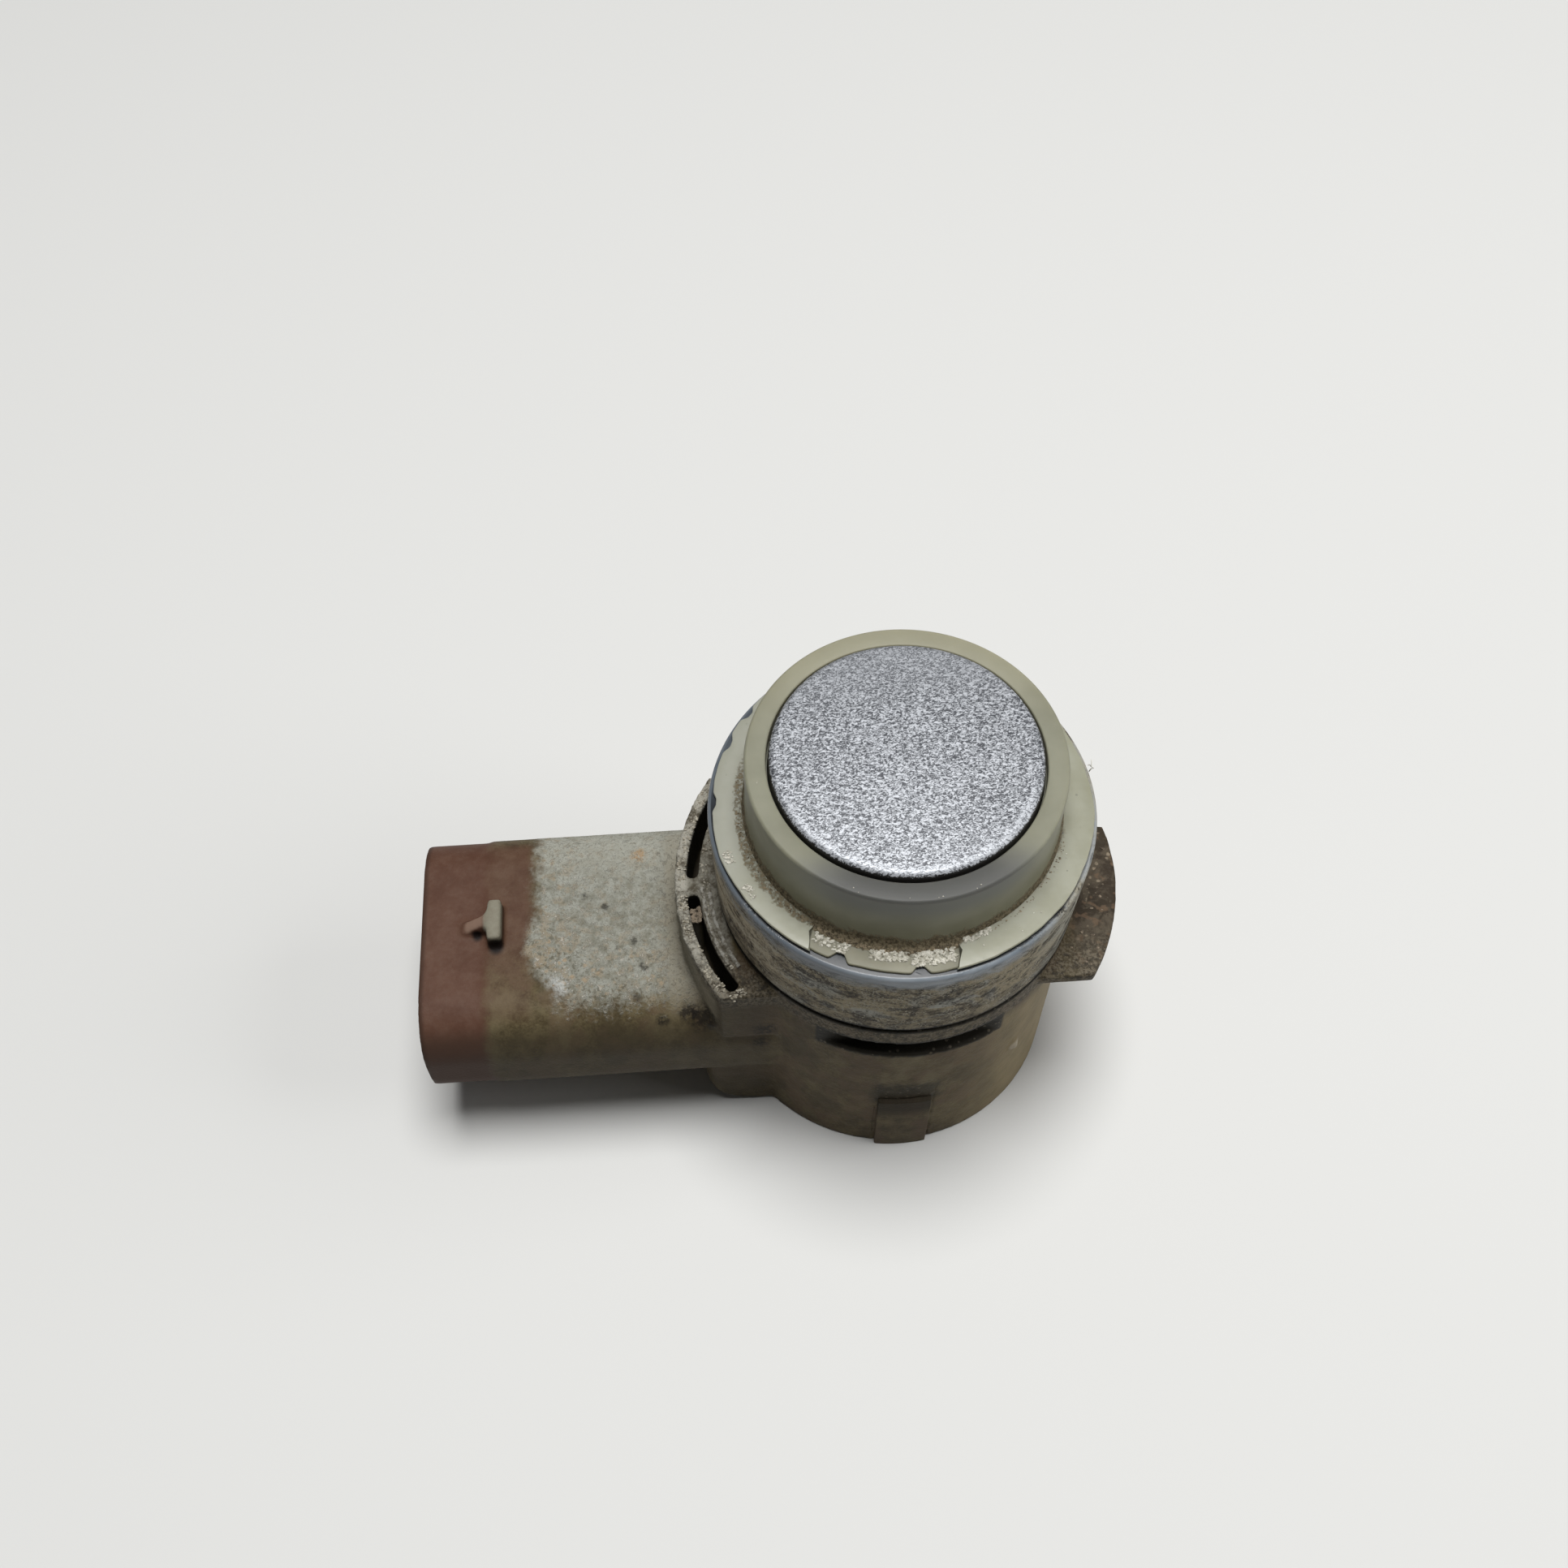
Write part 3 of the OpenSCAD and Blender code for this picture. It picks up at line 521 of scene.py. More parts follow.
def housing_finish():
    """Dark red-brown plastic under dust, brown grime and the grey crust of the connector, with
    painted shade on its front side and in its hollows.
    """
    f = Finish("housing plastic")
    up = f.normal.axis(2)
    radius = f.at.radius()
    broad = f.at.stretched(1.0, 1.0, 0.55).noise(0.3, 3.0, 0.6)
    cloud = f.at.noise(0.9, 4.0, 0.6)
    lump = f.at.noise(1.5, 2.0, 0.5, 0.4)
    grain = f.at.noise(2.6, 3.0, 0.65)
    fine = f.at.noise(6.5, 2.0, 0.6)

    # Bare plastic, faded a little on its upper sides
    plastic = (cloud * 0.6 + broad * 0.4).step(0.3, 0.7)
    plastic = plastic.mix(rgb(0.078, 0.037, 0.024), rgb(0.100, 0.051, 0.034))
    faded = up.step(0.4, 1.0) * (grain + cloud).step(0.8, 1.4) * 0.2
    plastic = faded.mix(plastic, rgb(0.15, 0.105, 0.08))

    # Brown and olive grime on the barrel, the neck, the ears and the connector's side, and painted
    # shade on the connector's front side
    soil = (cloud * 0.6 + fine * 0.4).step(0.34, 0.66)
    soil = soil.mix(rgb(0.052, 0.040, 0.019), rgb(0.118, 0.095, 0.048))
    soil = (broad.step(0.50, 0.64) * 0.6).mix(soil, rgb(0.150, 0.125, 0.070))
    soil = (broad.step(0.48, 0.38) * 0.6).mix(soil, rgb(0.048, 0.038, 0.019))
    ruddy = f.at.stretched(1.0, 1.0, 0.7).noise(0.42, 3.0, 0.6, 0.4).step(0.48, 0.60) * 0.55
    soil = ruddy.mix(soil, rgb(0.100, 0.068, 0.040))
    pale = f.x.step(2.0, 8.0) * f.z.step(16.0, 14.0) * f.y.step(9.0, -3.0)
    pale = pale * (cloud * 0.4 + broad * 1.2)
    soil = pale.mix(soil, rgb(0.235, 0.190, 0.104))
    # Painted shade: the soil and the bare plastic darker on the front side of the connector
    side = f.y.step(-6.2, -7.3) * f.x.step(-7.0, -9.5) * 0.6
    soil = side.mix(soil, rgb(0.040, 0.033, 0.020))
    plastic = (side * 1.3).mix(plastic, rgb(0.045, 0.026, 0.018))
    ear_top = f.x.step(9.5, 11.0) * f.z.step(15.0, 16.0)
    mottled = f.at.noise(0.8, 4.0, 0.68, 0.5)
    ear_soil = mottled.step(0.42, 0.60).mix(rgb(0.020, 0.017, 0.012), rgb(0.071, 0.060, 0.043))
    ear_soil = (f.at.noise(1.4, 2.0).step(0.56, 0.64) * 0.6).mix(ear_soil, rgb(0.135, 0.088, 0.055))
    soil = (ear_top * 0.9).mix(soil, ear_soil)
    behind = f.x + cloud.swing(1.2)
    top_end = f.z.step(12.2, 12.9) * f.x.step(-22.5, -23.5)
    soiled = behind.step(-26.3, -25.4) * (1 - top_end * (0.85 - f.y.step(0.0, -4.5) * 0.5))
    shade = (soiled * 0.92).mix(plastic, soil)

    # Grey crust on top of the connector, in lumps with paler and sandy grains
    bulge = f.at.near((-22.6, -1.5, 13.1), 0.2, 2.2)
    edge = f.x + lump.swing(1.1) + grain.swing(1.2) + bulge * 0.9 - f.y.step(-3.0, -5.0) * 1.2
    crust = edge.step(-23.3, -21.9) * edge.step(-12.3, -13.4)
    crust = crust * (f.z + cloud.swing(3.0)).step(9.2, 11.0)
    granule = f.at.noise(3.4, 3.0, 0.7, 0.5)
    crust = crust * (f.y + granule.swing(3.2) + cloud.swing(1.6)).step(-6.5, -4.7)
    grey = (lump * 0.45 + grain * 0.4 + fine * 0.15).step(0.37, 0.61)
    crust_shade = grey.mix(rgb(0.196, 0.192, 0.155), rgb(0.305, 0.308, 0.268))
    brownish = (broad + cloud).step(1.0, 0.76) * 0.4
    crust_shade = brownish.mix(crust_shade, rgb(0.172, 0.154, 0.112))
    crust_shade = (f.y.step(1.5, 6.0) * 0.6).mix(crust_shade, rgb(0.385, 0.385, 0.332))
    near_end = f.x.step(-18.5, -22.5)
    front = f.y.step(1.5, -3.5)
    sprinkled = 0.25 + near_end * 0.25 + front * 0.25
    warm = (f.at.noise(1.7, 2.0, 0.6) + bulge * 0.1).step(0.50, 0.64) * sprinkled
    crust_shade = warm.mix(crust_shade, rgb(0.275, 0.222, 0.150))
    gaps = granule.step(0.47, 0.36) * sprinkled
    crust_shade = gaps.mix(crust_shade, rgb(0.085, 0.074, 0.050))
    grains = granule.step(0.54, 0.66)
    crust_shade = (grains * sprinkled).mix(crust_shade, rgb(0.46, 0.44, 0.385))
    moss = (grain * 0.6 + cloud * 0.4).step(0.52, 0.64) * (0.35 + front * 0.3 + near_end * 0.15)
    crust_shade = moss.mix(crust_shade, rgb(0.105, 0.095, 0.066))
    sand = (f.at.cells(1.7) + fine.swing(0.4)).step(0.36, 0.12) * cloud.step(0.44, 0.56)
    crust_shade = (sand * (near_end + front) * 0.4).mix(crust_shade, rgb(0.36, 0.26, 0.16))
    white = f.at.blot((-21.5, -4.47, 13.1), 1.6, grain * 0.5 + fine * 0.5)
    crust_shade = (white * 0.7).mix(crust_shade, rgb(0.46, 0.47, 0.45))
    for place, size in CRUST_SPECKS:
        speck = f.at.blot(place, size, grain * 0.7 + fine * 0.3)
        crust_shade = (speck * 0.85).mix(crust_shade, rgb(0.050, 0.047, 0.038))
    corner = (f.x + lump.swing(2.4) + granule.swing(2.0)).step(-15.6, -13.8)
    corner = corner * (0.5 - f.y.step(1.0, 6.0) * 0.25)
    crust_shade = corner.mix(crust_shade, rgb(0.118, 0.102, 0.074))
    shade = crust.mix(shade, crust_shade)
    rust = f.at.blot((-16.07, 4.62, 13.1), 1.0, grain * 0.5 + fine * 0.5)
    shade = (rust * 0.6).mix(shade, rgb(0.33, 0.19, 0.075))
    lip = f.x.step(-29.55, -29.85) * up.step(-0.2, 0.3)
    shade = (lip * 0.6).mix(shade, rgb(0.035, 0.020, 0.014))

    # Pale catch bar and ramp, with painted shade, near black, on their front ends
    bar = f.z.step(13.6, 13.9) * f.x.step(-26.0, -25.8) * f.x.step(-24.3, -24.6)
    shade = (bar * (0.6 + grain * 0.5)).mix(shade, rgb(0.225, 0.215, 0.165))
    ramp = f.z.step(13.2, 13.45) * f.x.step(-25.7, -26.1) * up.step(0.3, 0.7)
    shade = (ramp * 0.7).mix(shade, rgb(0.26, 0.175, 0.13))
    # Painted shade on the front faces of the bar and the ramp
    under = f.at.near((-25.2, -1.5, 13.5), 0.4, 0.75)
    under = under.largest(f.at.near((-26.4, -0.6, 13.25), 0.2, 0.5))
    shade = (under * 0.95).mix(shade, rgb(0.006, 0.005, 0.005))

    # White and grey dust on the left ear, light brown on its wall
    wall = radius.step(13.35, 13.5) * f.x.step(-9.5, -10.5) * f.z.step(12.0, 13.5)
    wall = wall * f.x.step(-14.6, -14.2) * f.y.step(-7.75, -6.9)
    wall = wall * (0.2 + cloud * 0.5 + grain * 0.35)
    shade = wall.mix(shade, rgb(0.235, 0.215, 0.165))
    ear = (f.x + cloud.swing(0.8)).step(-10.0, -10.6) * f.z.step(16.2, 16.6)
    ear = ear * f.x.step(-14.5, -14.0)
    patchy = cloud * 0.4 + grain * 0.4 + fine * 0.2
    ear_shade = patchy.step(0.40, 0.60).mix(rgb(0.076, 0.065, 0.047), rgb(0.215, 0.205, 0.170))
    rim = radius.step(12.75, 13.05).largest(f.at.near((-10.6, -7.2, 17.0), 0.5, 1.1))
    ear_shade = (rim * patchy.step(0.40, 0.60) * 0.85).mix(ear_shade, rgb(0.36, 0.345, 0.295))
    shade = (ear * 0.95).mix(shade, ear_shade)
    for place, size in NECK_DIRT:
        patch = f.at.blot(place, size, grain * 0.6 + fine * 0.4)
        shade = (patch * 0.85).mix(shade, rgb(0.012, 0.010, 0.008))

    # Light crumbs on the right ear, the speckled dirt under the ring and a dried drop
    crumbs = ear_top * (f.at.cells(1.7) + fine.swing(0.3)).step(0.26, 0.12)
    crumbs = crumbs * mottled.step(0.46, 0.54)
    shade = (crumbs * 0.75).mix(shade, rgb(0.24, 0.195, 0.14))
    below = f.z.step(15.3, 16.3) * f.y.step(-4.0, -7.0)
    shade = (below * 0.5).mix(shade, rgb(0.046, 0.037, 0.024))
    shade = (below * fine.step(0.40, 0.60) * 0.6).mix(shade, rgb(0.17, 0.145, 0.105))
    shade = (below * grain.step(0.52, 0.38) * 0.75).mix(shade, rgb(0.025, 0.021, 0.015))
    drop = f.at.near((7.2, -8.6, 8.95), 0.3, 0.55)
    shade = (drop * 0.8).mix(shade, rgb(0.34, 0.30, 0.23))

    # Painted shade, near black, in the hollows: slots, grip pockets and windows over the snap tabs;
    # and the dark joint under the ring
    slot = f.z.step(16.85, 16.6) * f.z.step(12.4, 12.8) * f.x.step(-9.4, -9.6)
    slot = slot * radius.step(13.12, 13.04) * radius.step(12.02, 12.12)
    slot = slot * f.y.step(-7.65, -7.5) * f.y.step(7.65, 7.5)
    pocket = (f.z + grain.swing(0.5)).step(13.75, 14.1)
    pocket = pocket * (f.z + fine.swing(0.6)).step(16.35, 15.95)
    pocket = pocket * f.y.absolute().step(9.35, 9.5) * radius.step(9.35, 9.5)
    window = f.z.step(6.2, 7.2) * (f.z + grain.swing(2.0)).step(10.2, 8.8)
    across = f.x + cloud.swing(1.0)
    window = window * across.step(-2.6, -1.6) * across.step(2.6, 1.6)
    window = window * radius.step(10.2, 10.4) * 0.75
    joint = (f.z + fine.swing(0.3)).step(17.25, 17.45) * radius.step(9.9, 10.2)
    joint = joint * radius.step(11.4, 11.15)
    # Painted shade in the slots, pockets and windows, joined with the dark joint
    hollow = (slot * 0.9).largest(pocket).largest(window).largest(joint * 0.9)
    speck = f.at.cells(2.2).step(0.26, 0.16) * (1 - slot) * 0.6
    shade = (hollow * 0.95).mix(shade, speck.mix(rgb(0.013, 0.012, 0.009), rgb(0.12, 0.105, 0.08)))

    f.set(Base_Color=shade, Roughness=0.56 + crust * 0.35 + ear * 0.25)
    f.set(Specular_IOR_Level=0.1)
    coarse = crust * (lump * 0.5 + grains * 0.6 + fine * 0.3)
    relief = fine * 0.2 + grain * soiled * 0.45 + coarse + ear * fine * 0.5
    f.bump(relief, 0.13, 0.75)
    return f.material


def cover_finish():
    """Dark brown plastic under brown grime, with painted shade, near black, at the top of the snap
    tabs.
    """
    f = Finish("cover plastic")
    cloud = f.at.noise(0.9, 4.0, 0.6)
    fine = f.at.noise(6.0, 2.0)
    shade = (cloud + fine * 0.4).step(0.45, 0.95)
    shade = shade.mix(rgb(0.052, 0.040, 0.022), rgb(0.118, 0.094, 0.054))
    ruddy = f.at.noise(0.5, 2.0).step(0.45, 0.60) * 0.6
    shade = ruddy.mix(shade, rgb(0.092, 0.062, 0.041))
    # Painted shade at the top of the snap tabs, below the windows
    top = (f.z + cloud.swing(2.0)).step(4.4, 6.2)
    shade = (top * 0.8).mix(shade, rgb(0.022, 0.018, 0.012))
    f.set(Base_Color=shade, Roughness=0.55 + cloud * 0.15, Specular_IOR_Level=0.1)
    f.bump(fine + cloud, 0.05, 0.6)
    return f.material


def crumb_finish(name, dark, light):
    """Finish of loose grains, ridges and fibres."""
    f = Finish(name)
    fine = f.at.noise(4.0, 3.0, 0.7)
    f.set(Base_Color=fine.step(0.35, 0.65).mix(dark, light), Roughness=0.85 + fine * 0.1)
    f.bump(fine, 0.04, 0.6)
    return f.material


def inner_finish(name, dark, light, roughness, metallic=0.0, size=2.5):
    """Finish of a part inside the housing, with a faint mottle."""
    f = Finish(name)
    mottle = f.at.noise(size, 3.0, 0.6)
    f.set(Base_Color=mottle.step(0.3, 0.7).mix(dark, light), Metallic=metallic)
    f.set(Roughness=roughness + mottle.swing(0.12))
    f.bump(mottle, 0.02, 0.5)
    return f.material


# Housing

SHELL_VOXEL = 0.2
SHELL_TRIANGLES = 192000
DROP_PLACE = (7.07, -8.42, 8.9)
DROP_REACH = (0.32, 0.32, 0.5)
DROP_HEIGHT = 0.3


def housing_shell():
    """The moulding with softened edges and the crust that stands on it."""
    shell = cad_copy("housing", "housing_shell")
    shell.data.remesh_voxel_size = SHELL_VOXEL
    bpy.ops.object.voxel_remesh()
    apply_modifier(shell, "SMOOTH", factor=0.5, iterations=7)
    places, normals = points_of(shell)
    x, y, z = places.T
    up = normals[:, 2]
    radius = np.hypot(x, y)
    crust = ease(x, -23.6, -22.2) * ease(-x, 12.6, 13.4) * ease(z, 10.4, 12.4) * ease(up, -0.1, 0.2)
    crust = crust * ease(y, -6.2, -4.8) * (1 - 0.8 * ease(y, 3.5, 6.0))
    ear = ease(-x, 10.3, 11.0) * ease(z, 16.2, 16.7) * ease(up, 0.3, 0.8)
    barrel = ease(radius, 10.6, 10.9) * ease(z, 0.6, 1.6) * ease(-z, -17.5, -17.2) * (x > -11.5)
    catch = (x > -27.8) & (x < -24.3) & (np.abs(y) < 1.9) & (z > 13.3)
    group(shell, "crust", np.clip(crust + 0.5 * ear, 0, 1))
    group(shell, "grime", barrel)
    group(shell, "catch", catch * 1.0)
    lumps = texture("crust lumps", 1.1)
    grit = texture("crust grit", 0.45, 3)
    apply_modifier(shell, "SMOOTH", factor=0.5, iterations=10, vertex_group="catch")
    roughen(shell, lumps, 0.34, 0.45, "crust")
    roughen(shell, grit, 0.26, 0.45, "crust")
    roughen(shell, lumps, 0.06, 0.5, "grime")

    # A dried drop on the barrel
    places, normals = points_of(shell)
    away = (places - DROP_PLACE) / DROP_REACH
    raised = DROP_HEIGHT * np.exp(-(away ** 2).sum(1))
    set_points(shell, places + normals * raised[:, None])

    # The chamber and the socket carry fewer faces than what shows.
    chamber = (radius < 10.55) & (z < 17.5) & (x > -10.6)
    socket = (x < -13.5) & (np.abs(y) < 6.9) & (np.abs(z - 8.6) < 3.6) & (x > -29.7)
    under = (z < 0.3) & (up < -0.9) & (radius < 10.6)
    group(shell, "inside", np.where(chamber | socket | under, 1.0, 0.0))
    triangles = 2 * len(shell.data.polygons)
    ratio = min(1.0, SHELL_TRIANGLES / triangles)
    apply_modifier(shell, "DECIMATE", ratio=ratio, vertex_group="inside", vertex_group_factor=1.0)
    return shell


def snap_cover():
    """The rear cover with its snap tabs, with rounded edges."""
    cover = cad_copy("rear_cover", "snap_cover")
    edit(cover)
    bpy.ops.mesh.select_all(action="SELECT")
    bpy.ops.mesh.dissolve_limited(angle_limit=math.radians(2))
    leave_edit()
    sharp = {"limit_method": "ANGLE", "angle_limit": math.radians(40)}
    apply_modifier(cover, "BEVEL", width=0.1, segments=3, **sharp)
    apply_modifier(cover, "TRIANGULATE")
    return cover


# Angles of the snap tabs, and the inner radius of the dirt at them
TAB_MIDDLES = (-90, 90)
FILL_INNER_R = 10.5
# Each fill: start and turn in degrees from a tab's middle, outer radius, lowest and highest point
TAB_FILLS = [
    (-10.6, 1.75, 10.96, 0.1, 7.4),
    (8.85, 1.75, 10.96, 0.1, 7.4),
    (-10.9, 21.8, 10.97, 7.24, 9.65),
]


def packed_dirt():
    """Dirt in the grooves beside the snap tabs and in the windows above them, front and back."""
    fills = []
    for middle in TAB_MIDDLES:
        for start, turn, r, low, high in TAB_FILLS:
            half_way = (low + high) / 2
            outer = [(r, low), (r, half_way), (r, high)]
            inner = [(FILL_INNER_R, high), (FILL_INNER_R, half_way)]
            fill = lathe(
                f"fill_{len(fills)}",
                [(FILL_INNER_R, low)] + outer + inner,
                turn=turn,
                start=middle + start,
                steps=max(4, round(turn * 2)),
            )
            refine(5)
            fills.append(fill)
    packed = joined(fills, "packed_dirt")
    roughen(packed, texture("packed lumps", 0.7), 0.14)
    return packed


# Head

# Radii from the barrel's axis and heights above its foot
CUP_R = 7.73
CUP_BORE_R = 6.83
CUP_FOOT = 21.0
CUP_CEILING = 29.57
FACE_TOP = 30.37
LIP_R = 9.09
LIP_BORE_R = 7.85
LIP_SEAT_R = 7.78
LIP_HOLE_R = 5.0
LIP_FOOT = 20.4
LIP_TOP = 30.0
FLANGE_CORNER_R = 9.34
FLANGE_R = 10.85
FLANGE_TOP = 25.3
FILM_R = 11.02
FILM_FOOT = 25.31
FILM_TOP = 25.45
RING_BORE_R = 10.05
RING_FOOT_R = 11.06
RING_FOOT = 18.0
RING_R = 11.3
RING_TOP = 25.1


def transducer_face():
    """The metal cup, whose closed end is the silver face."""
    cup = lathe(
        "transducer_face",
        [
            (0.0, FACE_TOP), (CUP_R, FACE_TOP), (CUP_R, CUP_FOOT),
            (CUP_BORE_R, CUP_FOOT), (CUP_BORE_R, CUP_CEILING), (0.0, CUP_CEILING),
        ],
    )
    round_ring(cup, CUP_R, FACE_TOP, 0.42, 6)
    round_ring(cup, CUP_R, CUP_FOOT, 0.15, 3)
    leave_edit()
    return cup


# Notches in the flange's edge as (angle, half width in degrees, depth)
NOTCHES = [
    (-115, 3.4, 0.5),
    (-90.5, 3.2, 0.42),
    (176, 4.0, 0.2),
    (154, 4.4, 0.24),
    (141.5, 3.6, 0.28),
    (101, 4.2, 0.2),
]
# Waves per turn of the flange's uneven edge, and how high they start
EDGE_WAVES = (5, 9, 14, 23, 41, 67)
EDGE_WOBBLE = 0.12


def ragged_edge(piece, keep_r, edge_r):
    """Draws the rim of the flange in by its notches and a small waviness."""
    places, _ = points_of(piece)
    radius, angle = polar(places)
    turn = np.radians(angle)
    inward = sum(EDGE_WOBBLE * np.sin(turn * n + n * n) / n ** 0.8 for n in EDGE_WAVES)
    for at, half, depth in NOTCHES:
        away = degrees_apart(angle, at) / half
        inward = inward + depth * (1 - ease(away, 0.2, 1.0))
    share = np.clip((radius - keep_r) / (edge_r - keep_r), 0, None)
    scale = np.where(radius > keep_r, (radius - share * inward) / np.maximum(radius, 1e-6), 1)
    places[:, :2] *= scale[:, None]
    set_points(piece, places)


def silicone_lip():
    """The silicone ring with its lip, wall and flange."""
    lip = lathe(
        "silicone_lip",
        [
            (LIP_HOLE_R, LIP_FOOT), (LIP_R, LIP_FOOT),
            (LIP_R, RING_TOP), (9.9, RING_TOP), (10.4, RING_TOP), (FLANGE_R, RING_TOP),
            (FLANGE_R, FLANGE_TOP), (10.4, FLANGE_TOP), (9.9, FLANGE_TOP),
            (FLANGE_CORNER_R, FLANGE_TOP), (9.16, 25.85), (LIP_R, 26.8),
            (LIP_R, LIP_TOP), (LIP_BORE_R, LIP_TOP), (LIP_BORE_R, 29.2), (LIP_SEAT_R, 29.2),
            (LIP_SEAT_R, CUP_FOOT), (LIP_HOLE_R, CUP_FOOT),
        ],
        steps=720,
    )
    round_ring(lip, LIP_R, LIP_TOP, 0.2, 4)
    round_ring(lip, LIP_BORE_R, LIP_TOP, 0.1, 3)
    round_ring(lip, FLANGE_CORNER_R, FLANGE_TOP, 0.25, 4)
    round_ring(lip, FLANGE_R, FLANGE_TOP, 0.08, 3)
    leave_edit()
    ragged_edge(lip, 9.9, FLANGE_R)
    return lip


# The film is torn away at the front, between these two angles
TEAR_FROM = -128
TEAR_TO = -76


def flange_film():
    """The thin film on the flange."""
    across = (9.3, 9.65, 10.0, 10.5, FILM_R)
    below = [(r, FILM_FOOT) for r in across]
    above = [(r, FILM_TOP) for r in across[:0:-1]] + [(9.3, 25.47)]
    film = lathe(
        "flange_film",
        below + above,
        turn=360 + TEAR_FROM - TEAR_TO,
        start=TEAR_TO,
        steps=620,
    )
    round_ring(film, FILM_R, FILM_TOP, 0.06, 3)
    leave_edit()
    ragged_edge(film, 10.0, FILM_R)

    # The torn ends run slanting and uneven.
    places, _ = points_of(film)
    radius, angle = polar(places)
    uneven = 0.7 * np.sin(radius * 8) + 0.4 * np.sin(radius * 19)
    for end, slant, side in ((TEAR_FROM, 3.0, 1), (TEAR_TO, -2.6, -1)):
        close = ease(-degrees_apart(angle, end), -9, 0)
        angle = angle + close * (slant * (radius - 9.6) + uneven * side)
    places[:, 0] = radius * np.cos(np.radians(angle))
    places[:, 1] = radius * np.sin(np.radians(angle))
    set_points(film, places)
    return film


def clip_ring():
    """The ring that snaps over the housing and holds the silicone."""
    ring = lathe(
        "clip_ring",
        [
            (RING_BORE_R, 17.6), (10.65, 17.6), (10.65, RING_FOOT), (RING_FOOT_R, RING_FOOT),
            (11.12, 20.0), (11.2, 22.3), (RING_R, RING_TOP), (9.15, RING_TOP), (9.15, 20.45),
            (RING_BORE_R, 20.45), (RING_BORE_R, 19.25), (10.3, 19.0), (RING_BORE_R, 18.75),
        ],
    )
    round_ring(ring, RING_R, RING_TOP, 0.24, 5)
    round_ring(ring, RING_FOOT_R, RING_FOOT, 0.12, 3)
    leave_edit()
    return ring


# Middle radius, width, turn and start of each ridge
RIDGES = [(11.98, 0.24, 27, 181), (11.55, 0.26, 30, 180)]
RIDGE_FOOT = 16.9
RIDGE_TOP = 17.15


def collar_ridges():
    """Two thin crusted ridges between the slot of the left ear and the ring."""
    ridges = []
    for number, (r, width, turn, start) in enumerate(RIDGES):
        half = width / 2
        foot = [(r - half, RIDGE_FOOT), (r + half, RIDGE_FOOT)]
        top = [(r + half * 0.7, RIDGE_TOP), (r - half * 0.7, RIDGE_TOP)]
        ridge = lathe(
            f"collar_ridge_{number}",
            foot + top,
            turn=turn,
            start=start,
            steps=90,
        )
        refine(1)
        ridges.append(ridge)
    both = joined(ridges, "collar_ridges")
    roughen(both, texture("ridge grit", 0.5), 0.25)
    return both


# Loose dirt


def crumb_mould(name, seed):
    """One rough grain, about a millimetre across before it is scaled."""
    bpy.ops.object.select_all(action="DESELECT")
    bpy.ops.mesh.primitive_ico_sphere_add(subdivisions=1, radius=0.55)
    grain = bpy.context.object
    grain.name = name
    bpy.ops.object.mode_set(mode="EDIT")
    bpy.ops.transform.vertex_random(offset=0.3, seed=seed)
    leave_edit()
    return grain


# Place, turn and half length of each fibre
STRANDS = [
    ((11.25, 1.55, 25.5), (0.4, 0.9, 0.3), 0.35),
    ((11.32, 1.75, 25.55), (1.2, 0.2, 1.4), 0.3),
    ((11.2, 1.35, 25.5), (0.2, 1.3, 2.2), 0.28),
]
STRAND_R = 0.035


def fluff():
    """A few curled fibres caught at the edge of the flange."""
    strands = []
    for number, (place, turn, length) in enumerate(STRANDS):
        bpy.ops.object.select_all(action="DESELECT")
        bpy.ops.curve.primitive_bezier_curve_add(radius=length, location=place, rotation=turn)
        strand = bpy.context.object
        strand.name = f"strand_{number}"
        strand.data.bevel_depth = STRAND_R
        strand.data.bevel_resolution = 1
        strand.data.use_fill_caps = True
        strand.data.resolution_u = 10
        bpy.ops.object.convert(target="MESH")
        bpy.ops.object.transform_apply(location=True, rotation=True, scale=True)
        strands.append(strand)
    return joined(strands, "fluff")


# Moulds that the grains are copied from, and a grain's proportions
GRAIN_MOULDS = 4
GRAIN_WIDTHS = (0.5, 1.3)
GRAIN_DEPTHS = (0.6, 1.0)
GRAIN_HEIGHT = 0.55
GRAIN_LIFT = 0.1


def scatter(name, patches, seed):
    """Grains over patches of the surface, each with its own random size and turn."""
    random = np.random.default_rng(seed)
    moulds = [crumb_mould(f"{name}_mould_{i}", seed + i) for i in range(GRAIN_MOULDS)]
    grains = []
    for angle_from, angle_to, r_from, r_to, height, count, size in patches:
        for _ in range(count):
            angle = math.radians(random.uniform(angle_from, angle_to))
            r = random.uniform(r_from, r_to)
            width = size * random.uniform(*GRAIN_WIDTHS)
            turn = Euler(random.uniform(0, math.tau, 3)).to_matrix().to_4x4()
            depth = width * random.uniform(*GRAIN_DEPTHS)
            flat = Matrix.Diagonal((width, depth, width * GRAIN_HEIGHT, 1))
            z = height + width * GRAIN_LIFT
            place = Matrix.Translation((r * math.cos(angle), r * math.sin(angle), z))
            grain = moulds[random.integers(len(moulds))].copy()
            grain.data = grain.data.copy()
            grain.data.transform(place @ flat @ turn)
            bpy.context.scene.collection.objects.link(grain)
            grains.append(grain)
    for mould in moulds:
        bpy.data.objects.remove(mould)
    return joined(grains, name)


# Heights of the grains on the film, on the ears and in the left ear's slot
ON_FILM = 25.42
ON_EAR = 16.98
IN_SLOT = 16.45
